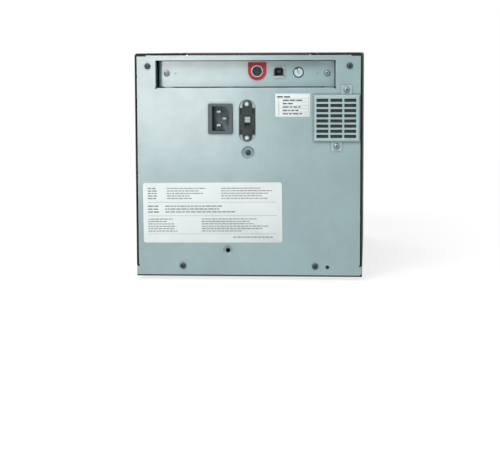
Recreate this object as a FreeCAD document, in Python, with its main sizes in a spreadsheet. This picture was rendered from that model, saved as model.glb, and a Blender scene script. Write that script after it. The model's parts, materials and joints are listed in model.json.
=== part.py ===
import FreeCAD, Part
import math
import os
import re

import Sketcher
from FreeCAD import Placement, Rotation, Vector

# Disc label printer: a thermal ribbon printer that draws a 120 mm disc under its head on a sliding tray.
# X runs across, Y from the operator's side (-) to the connector side (+), Z up; the origin is on the
# table under the middle of the housing. "Left" and "right" are the operator's.

SIZES = {
    # housing
    "half_wide": 117.5,
    "body_top": 235,
    "foot_high": 4,
    "front_face": -200,
    "bezel_back": -178,
    "panel_face": 196,
    "gauge": 1.2,
    "lip_top": 15,
    "seam": 0.2,
    # feet and base
    "foot_across": 95,
    "foot_along": 145,
    "foot_wide": 7.5,
    "foot_narrow": 6,
    "base_flange_top": 22,
    "intake_y": -90,
    "intake_half": 26,
    "intake_wide": 4,
    "intake_pitch": 10,
    "intake_count": 12,
    # outer cover with the sunken channel that takes the lid
    "cover_corner": 3,
    "channel_half": 71.5,
    "channel_floor": 229.9,
    "channel_round": 1.1,
    "access_half": 66,
    "access_front": -170,
    "access_rear": 8,
    "access_corner": 6,
    "ear_inner": 97,
    "ear_low": 213,
    # lid and its knuckle hinge
    "lid_half": 69.5,
    "lid_front": -198,
    "lid_flange_low": 230.6,
    "lid_corner": 5,
    "lid_round": 1,
    "hinge_y": 190.5,
    "hinge_z": 232.6,
    "knuckle_radius": 2.4,
    "knuckle_bore": 1.05,
    "pin_radius": 1,
    "knuckle_reach": 2.9,
    "knuckle_long": 18,
    "knuckle_gap": 0.3,
    "leaf_front": 172,
    # rear panel
    "panel_low": 5.4,
    "panel_half_low": 117.2,
    "panel_half": 115.3,
    "panel_top": 232.8,
    "panel_corner_x": 106,
    "panel_corner_z": 231.8,
    "panel_flange": 10,
    "window_left": -89.5,
    "window_right": 95.5,
    "window_low": 199.7,
    "window_high": 227.7,
    "upper_screw_x": 104.1,
    "upper_screw_z": 221.8,
    "lower_screw_x": 68.9,
    "lower_screw_z": 14.8,
    "screw_head": 3.15,
    "screw_tall": 2,
    "screw_shank": 1.5,
    "screw_hole": 1.7,
    "screw_long": 6,
    "spare_hole_x": -81.7,
    "spare_hole_z": 13.9,
    "dimple_x": 0.5,
    "dimple_z": 132.9,
    "dimple_mouth": 7,
    "dimple_slope": 54,
    "dimple_deep": 1.8,
    "low_dimple_x": 21.8,
    "low_dimple_z": 31,
    "low_dimple_mouth": 5.3,
    "low_dimple_hole": 2.35,
    "window_round": 0.8,
    "relief_radius": 1.1,
    # recessed connector plate
    "io_face": 185,
    "io_thick": 1,
    "io_left": -89,
    "io_right": 94.6,
    "io_low": 200.5,
    "io_high": 227,
    "io_flange": 9,
    "io_bend_left": 1.4,
    "io_bend_right": 4.5,
    "io_screw_left": -80.8,
    "io_screw_right": 85.5,
    "io_screw_z": 214.3,
    "io_pip_left": -70.7,
    "io_pip_right": 76.4,
    # connectors on the plate
    "board_top": 209.4,
    "board_thick": 1.6,
    "din_x": -8.5,
    "din_z": 216.4,
    "din_ring": 6,
    "din_ring_wall": 0.8,
    "din_proud": 2,
    "din_body_half": 7,
    "din_pin_ring": 2.9,
    "din_pin": 0.9,
    "surround_half": 9.5,
    "surround_top": 225.7,
    "surround_thick": 0.9,
    "usb_x": -30.95,
    "usb_half": 6.05,
    "usb_low": 209.5,
    "usb_high": 221.3,
    "usb_wall": 0.5,
    "usb_proud": 1.6,
    "usb_deep": 12,
    "usb_lip": 0.7,
    "usb_mouth_half": 4.5,
    "usb_mouth_low": 211.8,
    "usb_mouth_high": 219.7,
    "usb_chamfer": 1.7,
    "usb_tongue_half": 2.3,
    "usb_tongue_low": 214.4,
    "usb_tongue_high": 217.2,
    "mode_x": -51.2,
    "mode_z": 215.15,
    "mode_collar": 5.5,
    "mode_body_half": 5.8,
    "mode_rotor": 4.4,
    "mode_floor": 2.2,
    "mode_slot": 1,
    "mode_lean": 20,
    "shelf_low": 198.4,
    "shelf_top": 199.6,
    "shelf_left": -85,
    "shelf_right": 90,
    "shelf_front": 149,
    "shelf_rear": 183,
    # mains inlet
    "inlet_left": 16.2,
    "inlet_right": 41.5,
    "inlet_low": 152,
    "inlet_high": 183.4,
    "inlet_proud": 2.6,
    "inlet_round": 0.8,
    "inlet_body_inset": 1.8,
    "inlet_back": 168,
    "socket_left": 19.7,
    "socket_right": 37.3,
    "socket_low": 155.4,
    "socket_high": 180.7,
    "socket_chamfer": 4.6,
    "socket_floor": 181.5,
    "blade_long": 4,
    "blade_thick": 2,
    "blade_tip": 195,
    "line_x": 30.7,
    "earth_x": 24.7,
    "earth_z": 168,
    "line_spread": 7,
    "terminal_back": 159,
    # voltage selector in its pressed recess
    "select_x": 1.1,
    "select_half": 8.25,
    "select_low": 143.9,
    "select_high": 187.1,
    "select_deep": 1.6,
    "select_block_low": 151.3,
    "select_block_high": 178.8,
    "select_block_half": 7.9,
    "select_ear_half": 5.1,
    "select_round": 0.8,
    "select_clip_long": 5.3,
    "select_clip_wide": 1.8,
    "select_clip_left": 6.6,
    "select_clip_right": -5.7,
    "select_ear_low": 144.6,
    "select_ear_high": 186.6,
    "select_back": 179,
    "select_body_half": 6,
    "rivet_low": 148,
    "rivet_high": 182.9,
    "rivet_radius": 2.75,
    "knob_x": 0.8,
    "knob_half": 2.7,
    "knob_low": 163.9,
    "knob_high": 169.7,
    "knob_travel": 3.5,
    "knob_gap": 0.3,
    "knob_frame": 1.5,
    # fan and its slotted guard
    "guard_left": -114.6,
    "guard_right": -67.3,
    "guard_low": 144.4,
    "guard_high": 192.5,
    "guard_proud": 4,
    "guard_wall": 1,
    "guard_edge": 1.6,
    "guard_slot_wide": 12.2,
    "guard_slot_high": 3.3,
    "guard_slot_x": -110.9,
    "guard_column": 14.2,
    "guard_slot_z": 148.2,
    "guard_row": 5.27,
    "guard_rows": 8,
    "guard_tab_half": 5.5,
    "guard_tab_reach": 9.8,
    "guard_tab_round": 1.2,
    "guard_top_tab": -101,
    "guard_low_tab": -90.8,
    "filter_thick": 2.7,
    "filter_gap": 0.15,
    "fan_x": -91,
    "fan_z": 168.4,
    "fan_half": 20,
    "fan_thick": 20,
    "fan_bore": 18.8,
    "fan_sweep": 18,
    "fan_hub": 8.5,
    "fan_blade": 1,
    "fan_blades": 7,
    "fan_pitch": 38,
    "fan_screw": 16,
    # side plates that carry the mechanism
    "plate_inner": 70,
    "plate_thick": 2,
    "plate_front": -172,
    "plate_rear": 148,
    "plate_top": 222,
    "plate_foot": 14,
    "tie_front": -163,
    "tie_rear": 138,
    "tie_low": 60,
    "tie_high": 212,
    "plate_hole": 17,
    "plate_hole_cut": 9,
    "plate_hole_pitch": 44,
    "plate_hole_rear": 116,
    "plate_hole_high": 168,
    "plate_hole_low": 75,
    # tray, disc seat and drive
    "tray_half": 66,
    "tray_front": -198,
    "tray_rear": 62,
    "tray_low": 111,
    "tray_top": 120,
    "tray_corner": 5,
    "disc_y": -125,
    "disc_seat": 60.6,
    "seat_floor": 118.7,
    "seat_relief": 23,
    "relief_floor": 117.9,
    "scoop_x": 51,
    "scoop_radius": 15,
    "scoop_floor": 116.4,
    "hub_radius": 7.4,
    "hub_top": 119.8,
    "hub_low": 114,
    "hub_slot": 1.2,
    "rib_pocket_floor": 113.5,
    "rib_pocket_long": 27,
    "rib_pocket_front": -56,
    "rib_pocket_half": 40,
    "rib_wide": 3,
    "guide_inner": 63,
    "guide_low": 106.5,
    "guide_top": 123.5,
    "guide_front": -176,
    "guide_rear": 147,
    "guide_play": 0.3,
    "rack_module": 1.5,
    "rack_right": -52,
    "rack_left": -58,
    "rack_pitch_z": 108.9,
    "rack_back": 114,
    "rack_teeth": 50,
    "rack_gap": 0.8,
    "pinion_y": -82,
    "pinion_teeth": 14,
    "pinion_z": 98.3,
    "backlash": 0.28,
    "gear_play": 0.36,
    "motor_half": 21,
    "motor_long": 34,
    "motor_boss": 11,
    "motor_shaft": 2.5,
    "platen_radius": 8,
    "platen_y": -100,
    "platen_z": 102.85,
    "platen_left": -46,
    "platen_right": 60,
    "platen_shaft": 2.5,
    "bearing_fit": 0.05,
    "slip_fit": 0.03,
    # print head, pivot and lift cams
    "pivot_y": -60,
    "pivot_z": 150,
    "pivot_radius": 4,
    "head_half": 60,
    "head_front": -112,
    "head_rear": -88,
    "head_low": 126,
    "head_top": 134,
    "ridge_low": 123.4,
    "ridge_half": 3,
    "carrier_half": 61.5,
    "carrier_wall": 2,
    "fin_count": 9,
    "fin_pitch": 13,
    "cam_y": -100,
    "cam_z": 143.25,
    "cam_radius": 8,
    "cam_offset": 1.25,
    "cam_x": 40,
    "cam_wide": 6,
    "cam_shaft": 4,
    "cam_motor_radius": 14,
    "cam_motor_long": 30,
    # ribbon
    "spool_half": 62.5,
    "spool_flange": 1.5,
    "core_outer": 13,
    "core_inner": 8,
    "ribbon_half": 58,
    "supply_y": -30,
    "supply_z": 190,
    "supply_flange": 30,
    "supply_wound": 24,
    "takeup_y": -140,
    "takeup_z": 190,
    "takeup_flange": 26,
    "takeup_wound": 16,
    "spindle": 4,
    "bar_radius": 4,
    "bar_front": -124,
    "bar_rear": -76,
    "bar_z": 124.5,
    "film_thick": 0.3,
    "gear_module": 1,
    "gear_teeth": 48,
    "drive_teeth": 12,
    "gear_left": 74,
    "gear_right": 79,
    "ribbon_motor_radius": 18,
    "ribbon_motor_left": 83,
    "ribbon_motor_long": 28,
    # electronics
    "supply_case_left": -62,
    "supply_case_right": 36,
    "supply_case_front": 4,
    "supply_case_rear": 134,
    "supply_case_top": 44,
    "logic_half": 60,
    "logic_front": -158,
    "logic_rear": -14,
    "logic_low": 13,
    "standoff": 6,
    # moulded front and its operator panel
    "bezel_wall": 2.5,
    "bezel_edge": 2.4,
    "slot_half": 67.5,
    "slot_low": 109.4,
    "slot_high": 121.8,
    "collar_wall": 2.2,
    "panel_pad_left": 74,
    "panel_pad_right": 106,
    "panel_pad_low": 144,
    "panel_pad_high": 208,
    "panel_pad_deep": 1.2,
    "button_x": 90,
    "power_z": 154,
    "eject_z": 176,
    "button_radius": 4.5,
    "power_radius": 6,
    "button_gap": 0.25,
    "button_proud": 0.9,
    "button_flange": 1.6,
    "button_board": -189,
    "lens_z": 198,
    "lens_half": 2,
    "lens_tall": 1.2,
    "lens_pitch": 8,
}

doc = FreeCAD.newDocument("disc_label_printer")
sheet = doc.addObject("Spreadsheet::Sheet", "dims")
for number, (word, size) in enumerate(SIZES.items(), start=1):
    sheet.set(f"A{number}", word)
    sheet.set(f"B{number}", str(size))
    sheet.setAlias(f"B{number}", word)
doc.recompute()

NODES = []
CUTS = []


def bound(expression):
    """The expression with each word of the sheet turned into a reference to its cell."""
    return re.sub(
        r"[a-z][a-z_]*",
        lambda word: "dims." + word[0] if word[0] in SIZES else word[0],
        str(expression),
    )


def value(expression):
    """The number that an expression in the sheet's words comes to."""
    return float(sheet.evalExpression(bound(expression)))


def node(thing, label):
    """Marks a document object as one finished sub-part."""
    thing.Label = label
    NODES.append(thing)
    return thing


# ---------------------------------------------------------------- sketch outlines


def pin_down(sketch, geometry, end, x, y):
    """Fixes one point of a sketch at a place given by two expressions."""
    for kind, place in (("DistanceX", x), ("DistanceY", y)):
        index = sketch.addConstraint(Sketcher.Constraint(kind, -1, 1, geometry, end, value(place)))
        sketch.setExpression(f"Constraints[{index}]", bound(place))


def polygon(*corners):
    """A closed outline of straight lines through corners given as pairs of expressions."""

    def draw(sketch):
        places = [Vector(value(x), value(y), 0) for x, y in corners]
        count = len(corners)
        first = sketch.GeometryCount
        for side in range(count):
            sketch.addGeometry(Part.LineSegment(places[side], places[(side + 1) % count]), False)
        for side in range(count):
            after = first + (side + 1) % count
            sketch.addConstraint(Sketcher.Constraint("Coincident", first + side, 2, after, 1))
        for side, (x, y) in enumerate(corners):
            pin_down(sketch, first + side, 1, x, y)

    return draw


def rectangle(left, right, low, high):
    """A rectangle between four expressions."""
    return polygon((left, low), (right, low), (right, high), (left, high))


def hexagon(x, y, across):
    """A regular hexagon about a point, given its size over the flats."""
    corner, near, flat = f"({across}) / sqrt(3)", f"({across}) / sqrt(12)", f"({across}) / 2"
    return polygon(
        (f"{x} + {corner}", y),
        (f"{x} + {near}", f"{y} + {flat}"),
        (f"{x} - {near}", f"{y} + {flat}"),
        (f"{x} - {corner}", y),
        (f"{x} - {near}", f"{y} - {flat}"),
        (f"{x} + {near}", f"{y} - {flat}"),
    )


def cut_square(x, y, half, cut):
    """A square window about a point, its corners cut off."""
    near, far = f"({half} - {cut})", half
    return polygon(
        (f"{x} + {near}", f"{y} - {far}"),
        (f"{x} + {far}", f"{y} - {near}"),
        (f"{x} + {far}", f"{y} + {near}"),
        (f"{x} + {near}", f"{y} + {far}"),
        (f"{x} - {near}", f"{y} + {far}"),
        (f"{x} - {far}", f"{y} + {near}"),
        (f"{x} - {far}", f"{y} - {near}"),
        (f"{x} - {near}", f"{y} - {far}"),
    )


def circle(x, y, radius):
    """A circle about a point."""

    def draw(sketch):
        ring = Part.Circle(Vector(value(x), value(y), 0), Vector(0, 0, 1), value(radius))
        index = sketch.addGeometry(ring, False)
        size = sketch.addConstraint(Sketcher.Constraint("Radius", index, value(radius)))
        sketch.setExpression(f"Constraints[{size}]", bound(radius))
        pin_down(sketch, index, 3, x, y)

    return draw


def upright_slot(x, low, high, radius):
    """A stadium with round ends, standing along the sketch's second axis between low and high."""

    def draw(sketch):
        middle, reach = value(x), value(radius)
        bottom, top = value(low) + reach, value(high) - reach
        first = sketch.GeometryCount
        flat = Vector(0, 0, 1)
        upper = Part.Circle(Vector(middle, top, 0), flat, reach)
        lower = Part.Circle(Vector(middle, bottom, 0), flat, reach)
        right, left = middle + reach, middle - reach
        sketch.addGeometry(Part.LineSegment(Vector(right, bottom, 0), Vector(right, top, 0)), False)
        sketch.addGeometry(Part.ArcOfCircle(upper, 0, math.pi), False)
        sketch.addGeometry(Part.LineSegment(Vector(left, top, 0), Vector(left, bottom, 0)), False)
        sketch.addGeometry(Part.ArcOfCircle(lower, math.pi, 2 * math.pi), False)
        for side in range(4):
            after = first + (side + 1) % 4
            sketch.addConstraint(Sketcher.Constraint("Coincident", first + side, 2, after, 1))
        start, end = f"({low}) + ({radius})", f"({high}) - ({radius})"
        pin_down(sketch, first, 1, f"({x}) + ({radius})", start)
        pin_down(sketch, first, 2, f"({x}) + ({radius})", end)
        pin_down(sketch, first + 2, 1, f"({x}) - ({radius})", end)
        pin_down(sketch, first + 2, 2, f"({x}) - ({radius})", start)
        for arc, place in ((first + 1, end), (first + 3, start)):
            index = sketch.addConstraint(Sketcher.Constraint("DistanceY", -1, 1, arc, 3, value(place)))
            sketch.setExpression(f"Constraints[{index}]", bound(place))

    return draw


# ---------------------------------------------------------------- bodies


class Piece:
    """A sub-part made as a PartDesign body out of sketched features."""

    SIGN = {"XY": 1, "XZ": -1, "YZ": 1}

    def __init__(self, label, x="0", y="0", z="0"):
        self.body = doc.addObject("PartDesign::Body", label)
        self.planes = {feature.Role: feature for feature in self.body.Origin.OriginFeatures}
        self.count = 0
        for axis, place in zip("xyz", (x, y, z)):
            if place != "0":
                self.body.setExpression(f"Placement.Base.{axis}", bound(place))
        node(self.body, label)

    def feature(self, kind, name):
        self.count += 1
        return self.body.newObject(kind, f"{self.body.Name}_{name}_{self.count}")

    def sketch(self, plane, offset, outlines):
        sketch = self.feature("Sketcher::SketchObject", "sketch")
        sketch.AttachmentSupport = (self.planes[plane + "_Plane"], [""])
        sketch.MapMode = "FlatFace"
        sign = "" if self.SIGN[plane] > 0 else "-"
        sketch.setExpression("AttachmentOffset.Base.z", f"{sign}({bound(offset)})")
        for draw in outlines:
            draw(sketch)
        return sketch

    def pad(self, plane, start, end, *outlines):
        """Adds the outlines as material from start to end along the plane's axis."""
        pad = self.feature("PartDesign::Pad", "pad")
        pad.Profile = self.sketch(plane, start, outlines)
        pad.setExpression("Length", bound(f"({end}) - ({start})"))
        pad.Reversed = self.SIGN[plane] < 0
        doc.recompute()
        return pad

    def pocket(self, plane, start, end, *outlines, slope="0"):
        """Takes the outlines out of the material, their walls spreading from start to end by the slope."""
        before = self.body.Shape.Volume
        pocket = self.feature("PartDesign::Pocket", "pocket")
        pocket.Profile = self.sketch(plane, start, outlines)
        pocket.setExpression("Length", bound(f"({end}) - ({start})"))
        pocket.Reversed = self.SIGN[plane] > 0
        pocket.setExpression("TaperAngle", bound(slope))
        doc.recompute()
        CUTS.append((pocket.Name, before, self.body.Shape.Volume))
        return pocket

    def revolve(self, plane, axis, *outlines, cut=False):
        """Turns the outlines round one of the sketch's own axes."""
        before = self.body.Shape.Volume if cut else 0
        kind = "PartDesign::Groove" if cut else "PartDesign::Revolution"
        turned = self.feature(kind, "turned")
        profile = self.sketch(plane, "0", outlines)
        turned.Profile = profile
        turned.ReferenceAxis = (profile, [axis])
        turned.Angle = 360
        doc.recompute()
        if cut:
            CUTS.append((turned.Name, before, self.body.Shape.Volume))
        return turned

    def row(self, feature, axis, count, pitch):
        """Repeats a feature along an axis."""
        pattern = self.feature("PartDesign::LinearPattern", "row")
        pattern.Originals = [feature]
        pattern.Direction = (self.planes[axis + "_Axis"], [""])
        pattern.setExpression("Length", bound(f"({pitch}) * (({count}) - 1)"))
        pattern.setExpression("Occurrences", bound(count))
        self.body.Tip = pattern
        doc.recompute()
        return pattern

    def ring(self, feature, axis, count):
        """Repeats a feature round an axis."""
        pattern = self.feature("PartDesign::PolarPattern", "ring")
        pattern.Originals = [feature]
        pattern.Axis = (self.planes[axis + "_Axis"], [""])
        pattern.Angle = 360
        pattern.setExpression("Occurrences", bound(count))
        self.body.Tip = pattern
        doc.recompute()
        return pattern

    def edge_feature(self, kind, size_name, size, test):
        base = self.body.Tip
        names = [f"Edge{i}" for i, edge in enumerate(base.Shape.Edges, start=1) if test(edge)]
        feature = self.feature(f"PartDesign::{kind}", kind.lower())
        feature.Base = (base, names)
        feature.setExpression(size_name, bound(size))
        doc.recompute()
        return feature

    def fillet(self, size, test):
        return self.edge_feature("Fillet", "Radius", size, test)

    def chamfer(self, size, test):
        return self.edge_feature("Chamfer", "Size", size, test)

    def hollow(self, wall, test):
        """Leaves a wall of even thickness inside the faces that the test does not open."""
        base = self.body.Tip
        names = [f"Face{i}" for i, face in enumerate(base.Shape.Faces, start=1) if test(face)]
        shell = self.feature("PartDesign::Thickness", "shell")
        shell.Base = (base, names)
        shell.setExpression("Value", bound(wall))
        shell.Reversed = True
        shell.Join = 1
        doc.recompute()
        return shell


def runs_along(edge, axis):
    """Whether an edge is straight and parallel to X, Y or Z."""
    if edge.Degenerated or edge.Curve.TypeId not in ("Part::GeomLine", "Part::GeomLineSegment"):
        return False
    return abs(abs(edge.tangentAt(edge.FirstParameter)["XYZ".index(axis)]) - 1) < 1e-6


def lies_at(shape, **places):
    """Whether the middle of an edge or face lies at the given coordinates."""
    middle = shape.BoundBox.Center
    return all(abs(getattr(middle, axis) - value(place)) < 0.05 for axis, place in places.items())


def faces_toward(face, direction):
    """Whether a flat face looks along a direction."""
    if face.Surface.TypeId != "Part::GeomPlane":
        return False
    u, v = face.Surface.parameter(face.CenterOfMass)
    return face.normalAt(u, v).dot(Vector(*direction)) > 0.999


# ---------------------------------------------------------------- plain solids


def block(left, right, front, rear, low, high):
    """A Part box between six expressions."""
    box = doc.addObject("Part::Box", "block")
    for name, start, end in (("Length", left, right), ("Width", front, rear), ("Height", low, high)):
        box.setExpression(name, bound(f"({end}) - ({start})"))
    for axis, start in (("x", left), ("y", front), ("z", low)):
        box.setExpression(f"Placement.Base.{axis}", bound(start))
    return box


AIM = {"X": Vector(1, 0, 0), "Y": Vector(0, 1, 0), "Z": Vector(0, 0, 1)}


def aim(thing, axis, start, across):
    """Turns a cylinder or cone along an axis and puts its first end in place."""
    thing.Placement = Placement(Vector(), Rotation(Vector(0, 0, 1), AIM[axis]))
    others = [name for name in "XYZ" if name != axis]
    for name, place in zip([axis] + others, [start] + list(across)):
        thing.setExpression(f"Placement.Base.{name.lower()}", bound(place))
    return thing


def rod(axis, start, end, across, radius):
    """A round rod along an axis."""
    cylinder = doc.addObject("Part::Cylinder", "rod")
    cylinder.setExpression("Radius", bound(radius))
    cylinder.setExpression("Height", bound(f"({end}) - ({start})"))
    return aim(cylinder, axis, start, across)


def cone(axis, start, end, across, first, last):
    """A round taper along an axis."""
    taper = doc.addObject("Part::Cone", "cone")
    taper.setExpression("Radius1", bound(first))
    taper.setExpression("Radius2", bound(last))
    taper.setExpression("Height", bound(f"({end}) - ({start})"))
    return aim(taper, axis, start, across)


def joined(*solids):
    fused = doc.addObject("Part::MultiFuse", "joined")
    fused.Shapes = list(solids)
    return fused


def less(solid, tool):
    rest = doc.addObject("Part::Cut", "less")
    rest.Base = solid
    rest.Tool = tool
    return rest


def group(label, solids):
    """Several separate solids kept as one sub-part."""
    compound = doc.addObject("Part::Compound", label)
    compound.Links = list(solids)
    return node(compound, label)


# ---------------------------------------------------------------- housing


def cover_outline():
    """Inverted U with the lid channel sunk in its top."""
    return polygon(
        ("-half_wide", "lip_top + seam"),
        ("half_wide", "lip_top + seam"),
        ("half_wide", "body_top"),
        ("channel_half", "body_top"),
        ("channel_half", "channel_floor"),
        ("-channel_half", "channel_floor"),
        ("-channel_half", "body_top"),
        ("-half_wide", "body_top"),
    )


def base_pan():
    """Floor pan with low side lips, an upstand at each end and intake slots."""
    pan = Piece("base_pan")
    pan.pad(
        "XZ",
        "bezel_back + seam",
        "panel_face - gauge - seam",
        polygon(
            ("-half_wide", "foot_high"),
            ("half_wide", "foot_high"),
            ("half_wide", "lip_top"),
            ("half_wide - gauge", "lip_top"),
            ("half_wide - gauge", "foot_high + gauge"),
            ("-half_wide + gauge", "foot_high + gauge"),
            ("-half_wide + gauge", "lip_top"),
            ("-half_wide", "lip_top"),
        ),
    )
    floor = rectangle("-panel_half_low", "panel_half_low", "panel_face - gauge - 1", "panel_face")
    pan.pad("XY", "foot_high", "foot_high + gauge", floor)
    upstand = ("-half_wide + 14", "half_wide - 14", "foot_high + gauge", "base_flange_top")
    pan.pad("XZ", "bezel_back + seam", "bezel_back + seam + gauge", rectangle(*upstand))
    pan.pad("XZ", "panel_face - 2 * gauge - seam", "panel_face - gauge - seam", rectangle(*upstand))
    holes = [circle(f"{side}lower_screw_x", "lower_screw_z", "screw_hole") for side in ("", "-")]
    pan.pocket("XZ", "panel_face - 3 * gauge", "panel_face", *holes)
    middle = "-intake_pitch * (intake_count - 1) / 2"
    across = (f"{middle} - intake_wide / 2", f"{middle} + intake_wide / 2")
    slot = rectangle(*across, "intake_y - intake_half", "intake_y + intake_half")
    first = pan.pocket("XY", "foot_high - 1", "foot_high + 2 * gauge", slot)
    pan.row(first, "X", "intake_count", "intake_pitch")


def rubber_feet():
    feet = []
    for across in ("foot_across", "-foot_across"):
        for along in ("foot_along", "-foot_along"):
            feet.append(cone("Z", "0", "foot_high", (across, along), "foot_narrow", "foot_wide"))
    group("rubber_feet", feet)


def channel_edge(edge):
    """Whether an edge is the bend where the top drops into the lid channel."""
    return runs_along(edge, "Y") and any(
        lies_at(edge, x=f"{side}channel_half", z="body_top") for side in ("", "-")
    )


def outer_cover():
    """Folded steel cover: a channelled block with rounded shoulders, hollowed to the sheet's gauge."""
    cover = Piece("outer_cover")
    cover.pad("XZ", "bezel_back + seam", "panel_face - 0.3", cover_outline())
    cover.fillet(
        "cover_corner",
        lambda edge: runs_along(edge, "Y")
        and abs(abs(edge.BoundBox.Center.x) - value("half_wide")) < 0.1
        and edge.BoundBox.Center.z > value("channel_floor"),
    )
    cover.hollow(
        "gauge",
        lambda face: faces_toward(face, (0, 1, 0))
        or faces_toward(face, (0, -1, 0))
        or lies_at(face, z="lip_top + seam"),
    )
    cover.fillet("channel_round", channel_edge)
    # the lid channel stops short of the rear panel
    past = "channel_half + gauge + 0.3"
    end = rectangle(f"-({past})", past, "channel_floor - 2 * gauge", "body_top + 1")
    cover.pocket("XZ", "panel_face - gauge - 0.3", "panel_face", end)
    # opening over the ribbon bay
    cover.pocket(
        "XY",
        "channel_floor - 2 * gauge",
        "channel_floor + 1",
        rectangle("-access_half", "access_half", "access_front", "access_rear"),
    )
    cover.fillet(
        "access_corner",
        lambda edge: runs_along(edge, "Z")
        and abs(abs(edge.BoundBox.Center.x) - value("access_half")) < 0.1
        and edge.BoundBox.Center.z < value("channel_floor"),
    )
    # ears that take the panel's upper screws
    for side in ("", "-"):
        outer, inner = f"{side}(half_wide - gauge)", f"{side}ear_inner"
        left, right = (inner, outer) if side == "" else (outer, inner)
        ear = rectangle(left, right, "ear_low", "body_top - gauge")
        cover.pad("XZ", "panel_face - 2 * gauge - 0.2", "panel_face - gauge - 0.2", ear)
    holes = [circle(f"{side}upper_screw_x", "upper_screw_z", "screw_hole") for side in ("", "-")]
    cover.pocket("XZ", "panel_face - 4 * gauge", "panel_face", *holes)


def knuckle_places(of_lid):
    """Left and right ends of the hinge knuckles, lid and leaf taking turns."""
    if of_lid:
        centres = ("-3 * knuckle_long", "0", "3 * knuckle_long")
        return [(f"{c} - knuckle_long / 2", f"{c} + knuckle_long / 2") for c in centres]
    start, end = "knuckle_long / 2 + knuckle_gap", "5 * knuckle_long / 2 - knuckle_gap"
    return [(start, end), (f"-({end})", f"-({start})")]


def top_lid():
    """Folded lid with hemmed sides and front, rolled into three hinge knuckles at the back."""
    lid = Piece("top_lid")
    skin = "body_top - gauge"
    rear = "hinge_y - knuckle_reach"
    lid.pad("XY", skin, "body_top", rectangle("-lid_half", "lid_half", "lid_front", rear))
    lid.fillet(
        "lid_corner",
        lambda edge: runs_along(edge, "Z") and edge.BoundBox.Center.y < value("lid_front + 1"),
    )
    for side in ("-1", "1"):
        if side == "-1":
            left, right = "-lid_half", "-lid_half + gauge"
        else:
            left, right = "lid_half - gauge", "lid_half"
        fold = rectangle(left, right, "lid_front + lid_corner", "hinge_y - 4 * knuckle_reach")
        lid.pad("XY", "lid_flange_low", skin, fold)
    front = rectangle("-lid_half + lid_corner", "lid_half - lid_corner", "lid_front", "lid_front + gauge")
    lid.pad("XY", "lid_flange_low", skin, front)
    lid.fillet(
        "lid_round",
        lambda edge: edge.BoundBox.ZMin > value("body_top - 0.1")
        and edge.BoundBox.YMin < value(f"{rear} - 1"),
    )
    for left, right in knuckle_places(True):
        lid.pad("YZ", left, right, circle("hinge_y", "hinge_z", "knuckle_radius"))
        lid.pad("YZ", left, right, rectangle(f"{rear} - 1", "hinge_y", skin, "body_top"))
    lid.pocket("YZ", "-lid_half", "lid_half", circle("hinge_y", "hinge_z", "knuckle_bore"))


def hinge_leaf():
    """Fixed half of the lid hinge, riveted to the channel floor."""
    leaf = Piece("lid_hinge_leaf")
    top, rear = "channel_floor + 1", "hinge_y - knuckle_reach"
    leaf.pad("XY", "channel_floor", top, rectangle("-lid_half + 3", "lid_half - 3", "leaf_front", rear))
    for left, right in knuckle_places(False):
        leaf.pad("YZ", left, right, circle("hinge_y", "hinge_z", "knuckle_radius"))
        leaf.pad("YZ", left, right, rectangle(f"{rear} - 1", "hinge_y", "channel_floor", top))
    leaf.pocket("YZ", "-lid_half", "lid_half", circle("hinge_y", "hinge_z", "knuckle_bore"))


def hinge_pin():
    end = "7 * knuckle_long / 2 + 1"
    node(rod("X", f"-({end})", end, ("hinge_y", "hinge_z"), "pin_radius"), "lid_hinge_pin")


def pressed_dimple(panel, x, z, mouth):
    """A conical dimple pressed inwards, its wall kept by a boss behind the panel."""
    panel.pad("XZ", "panel_face - gauge - dimple_deep", "panel_face - gauge", circle(x, z, mouth))
    floor = circle(x, z, f"({mouth}) - dimple_deep * tan(dimple_slope)")
    panel.pocket("XZ", "panel_face - dimple_deep", "panel_face", floor, slope="dimple_slope")


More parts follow.
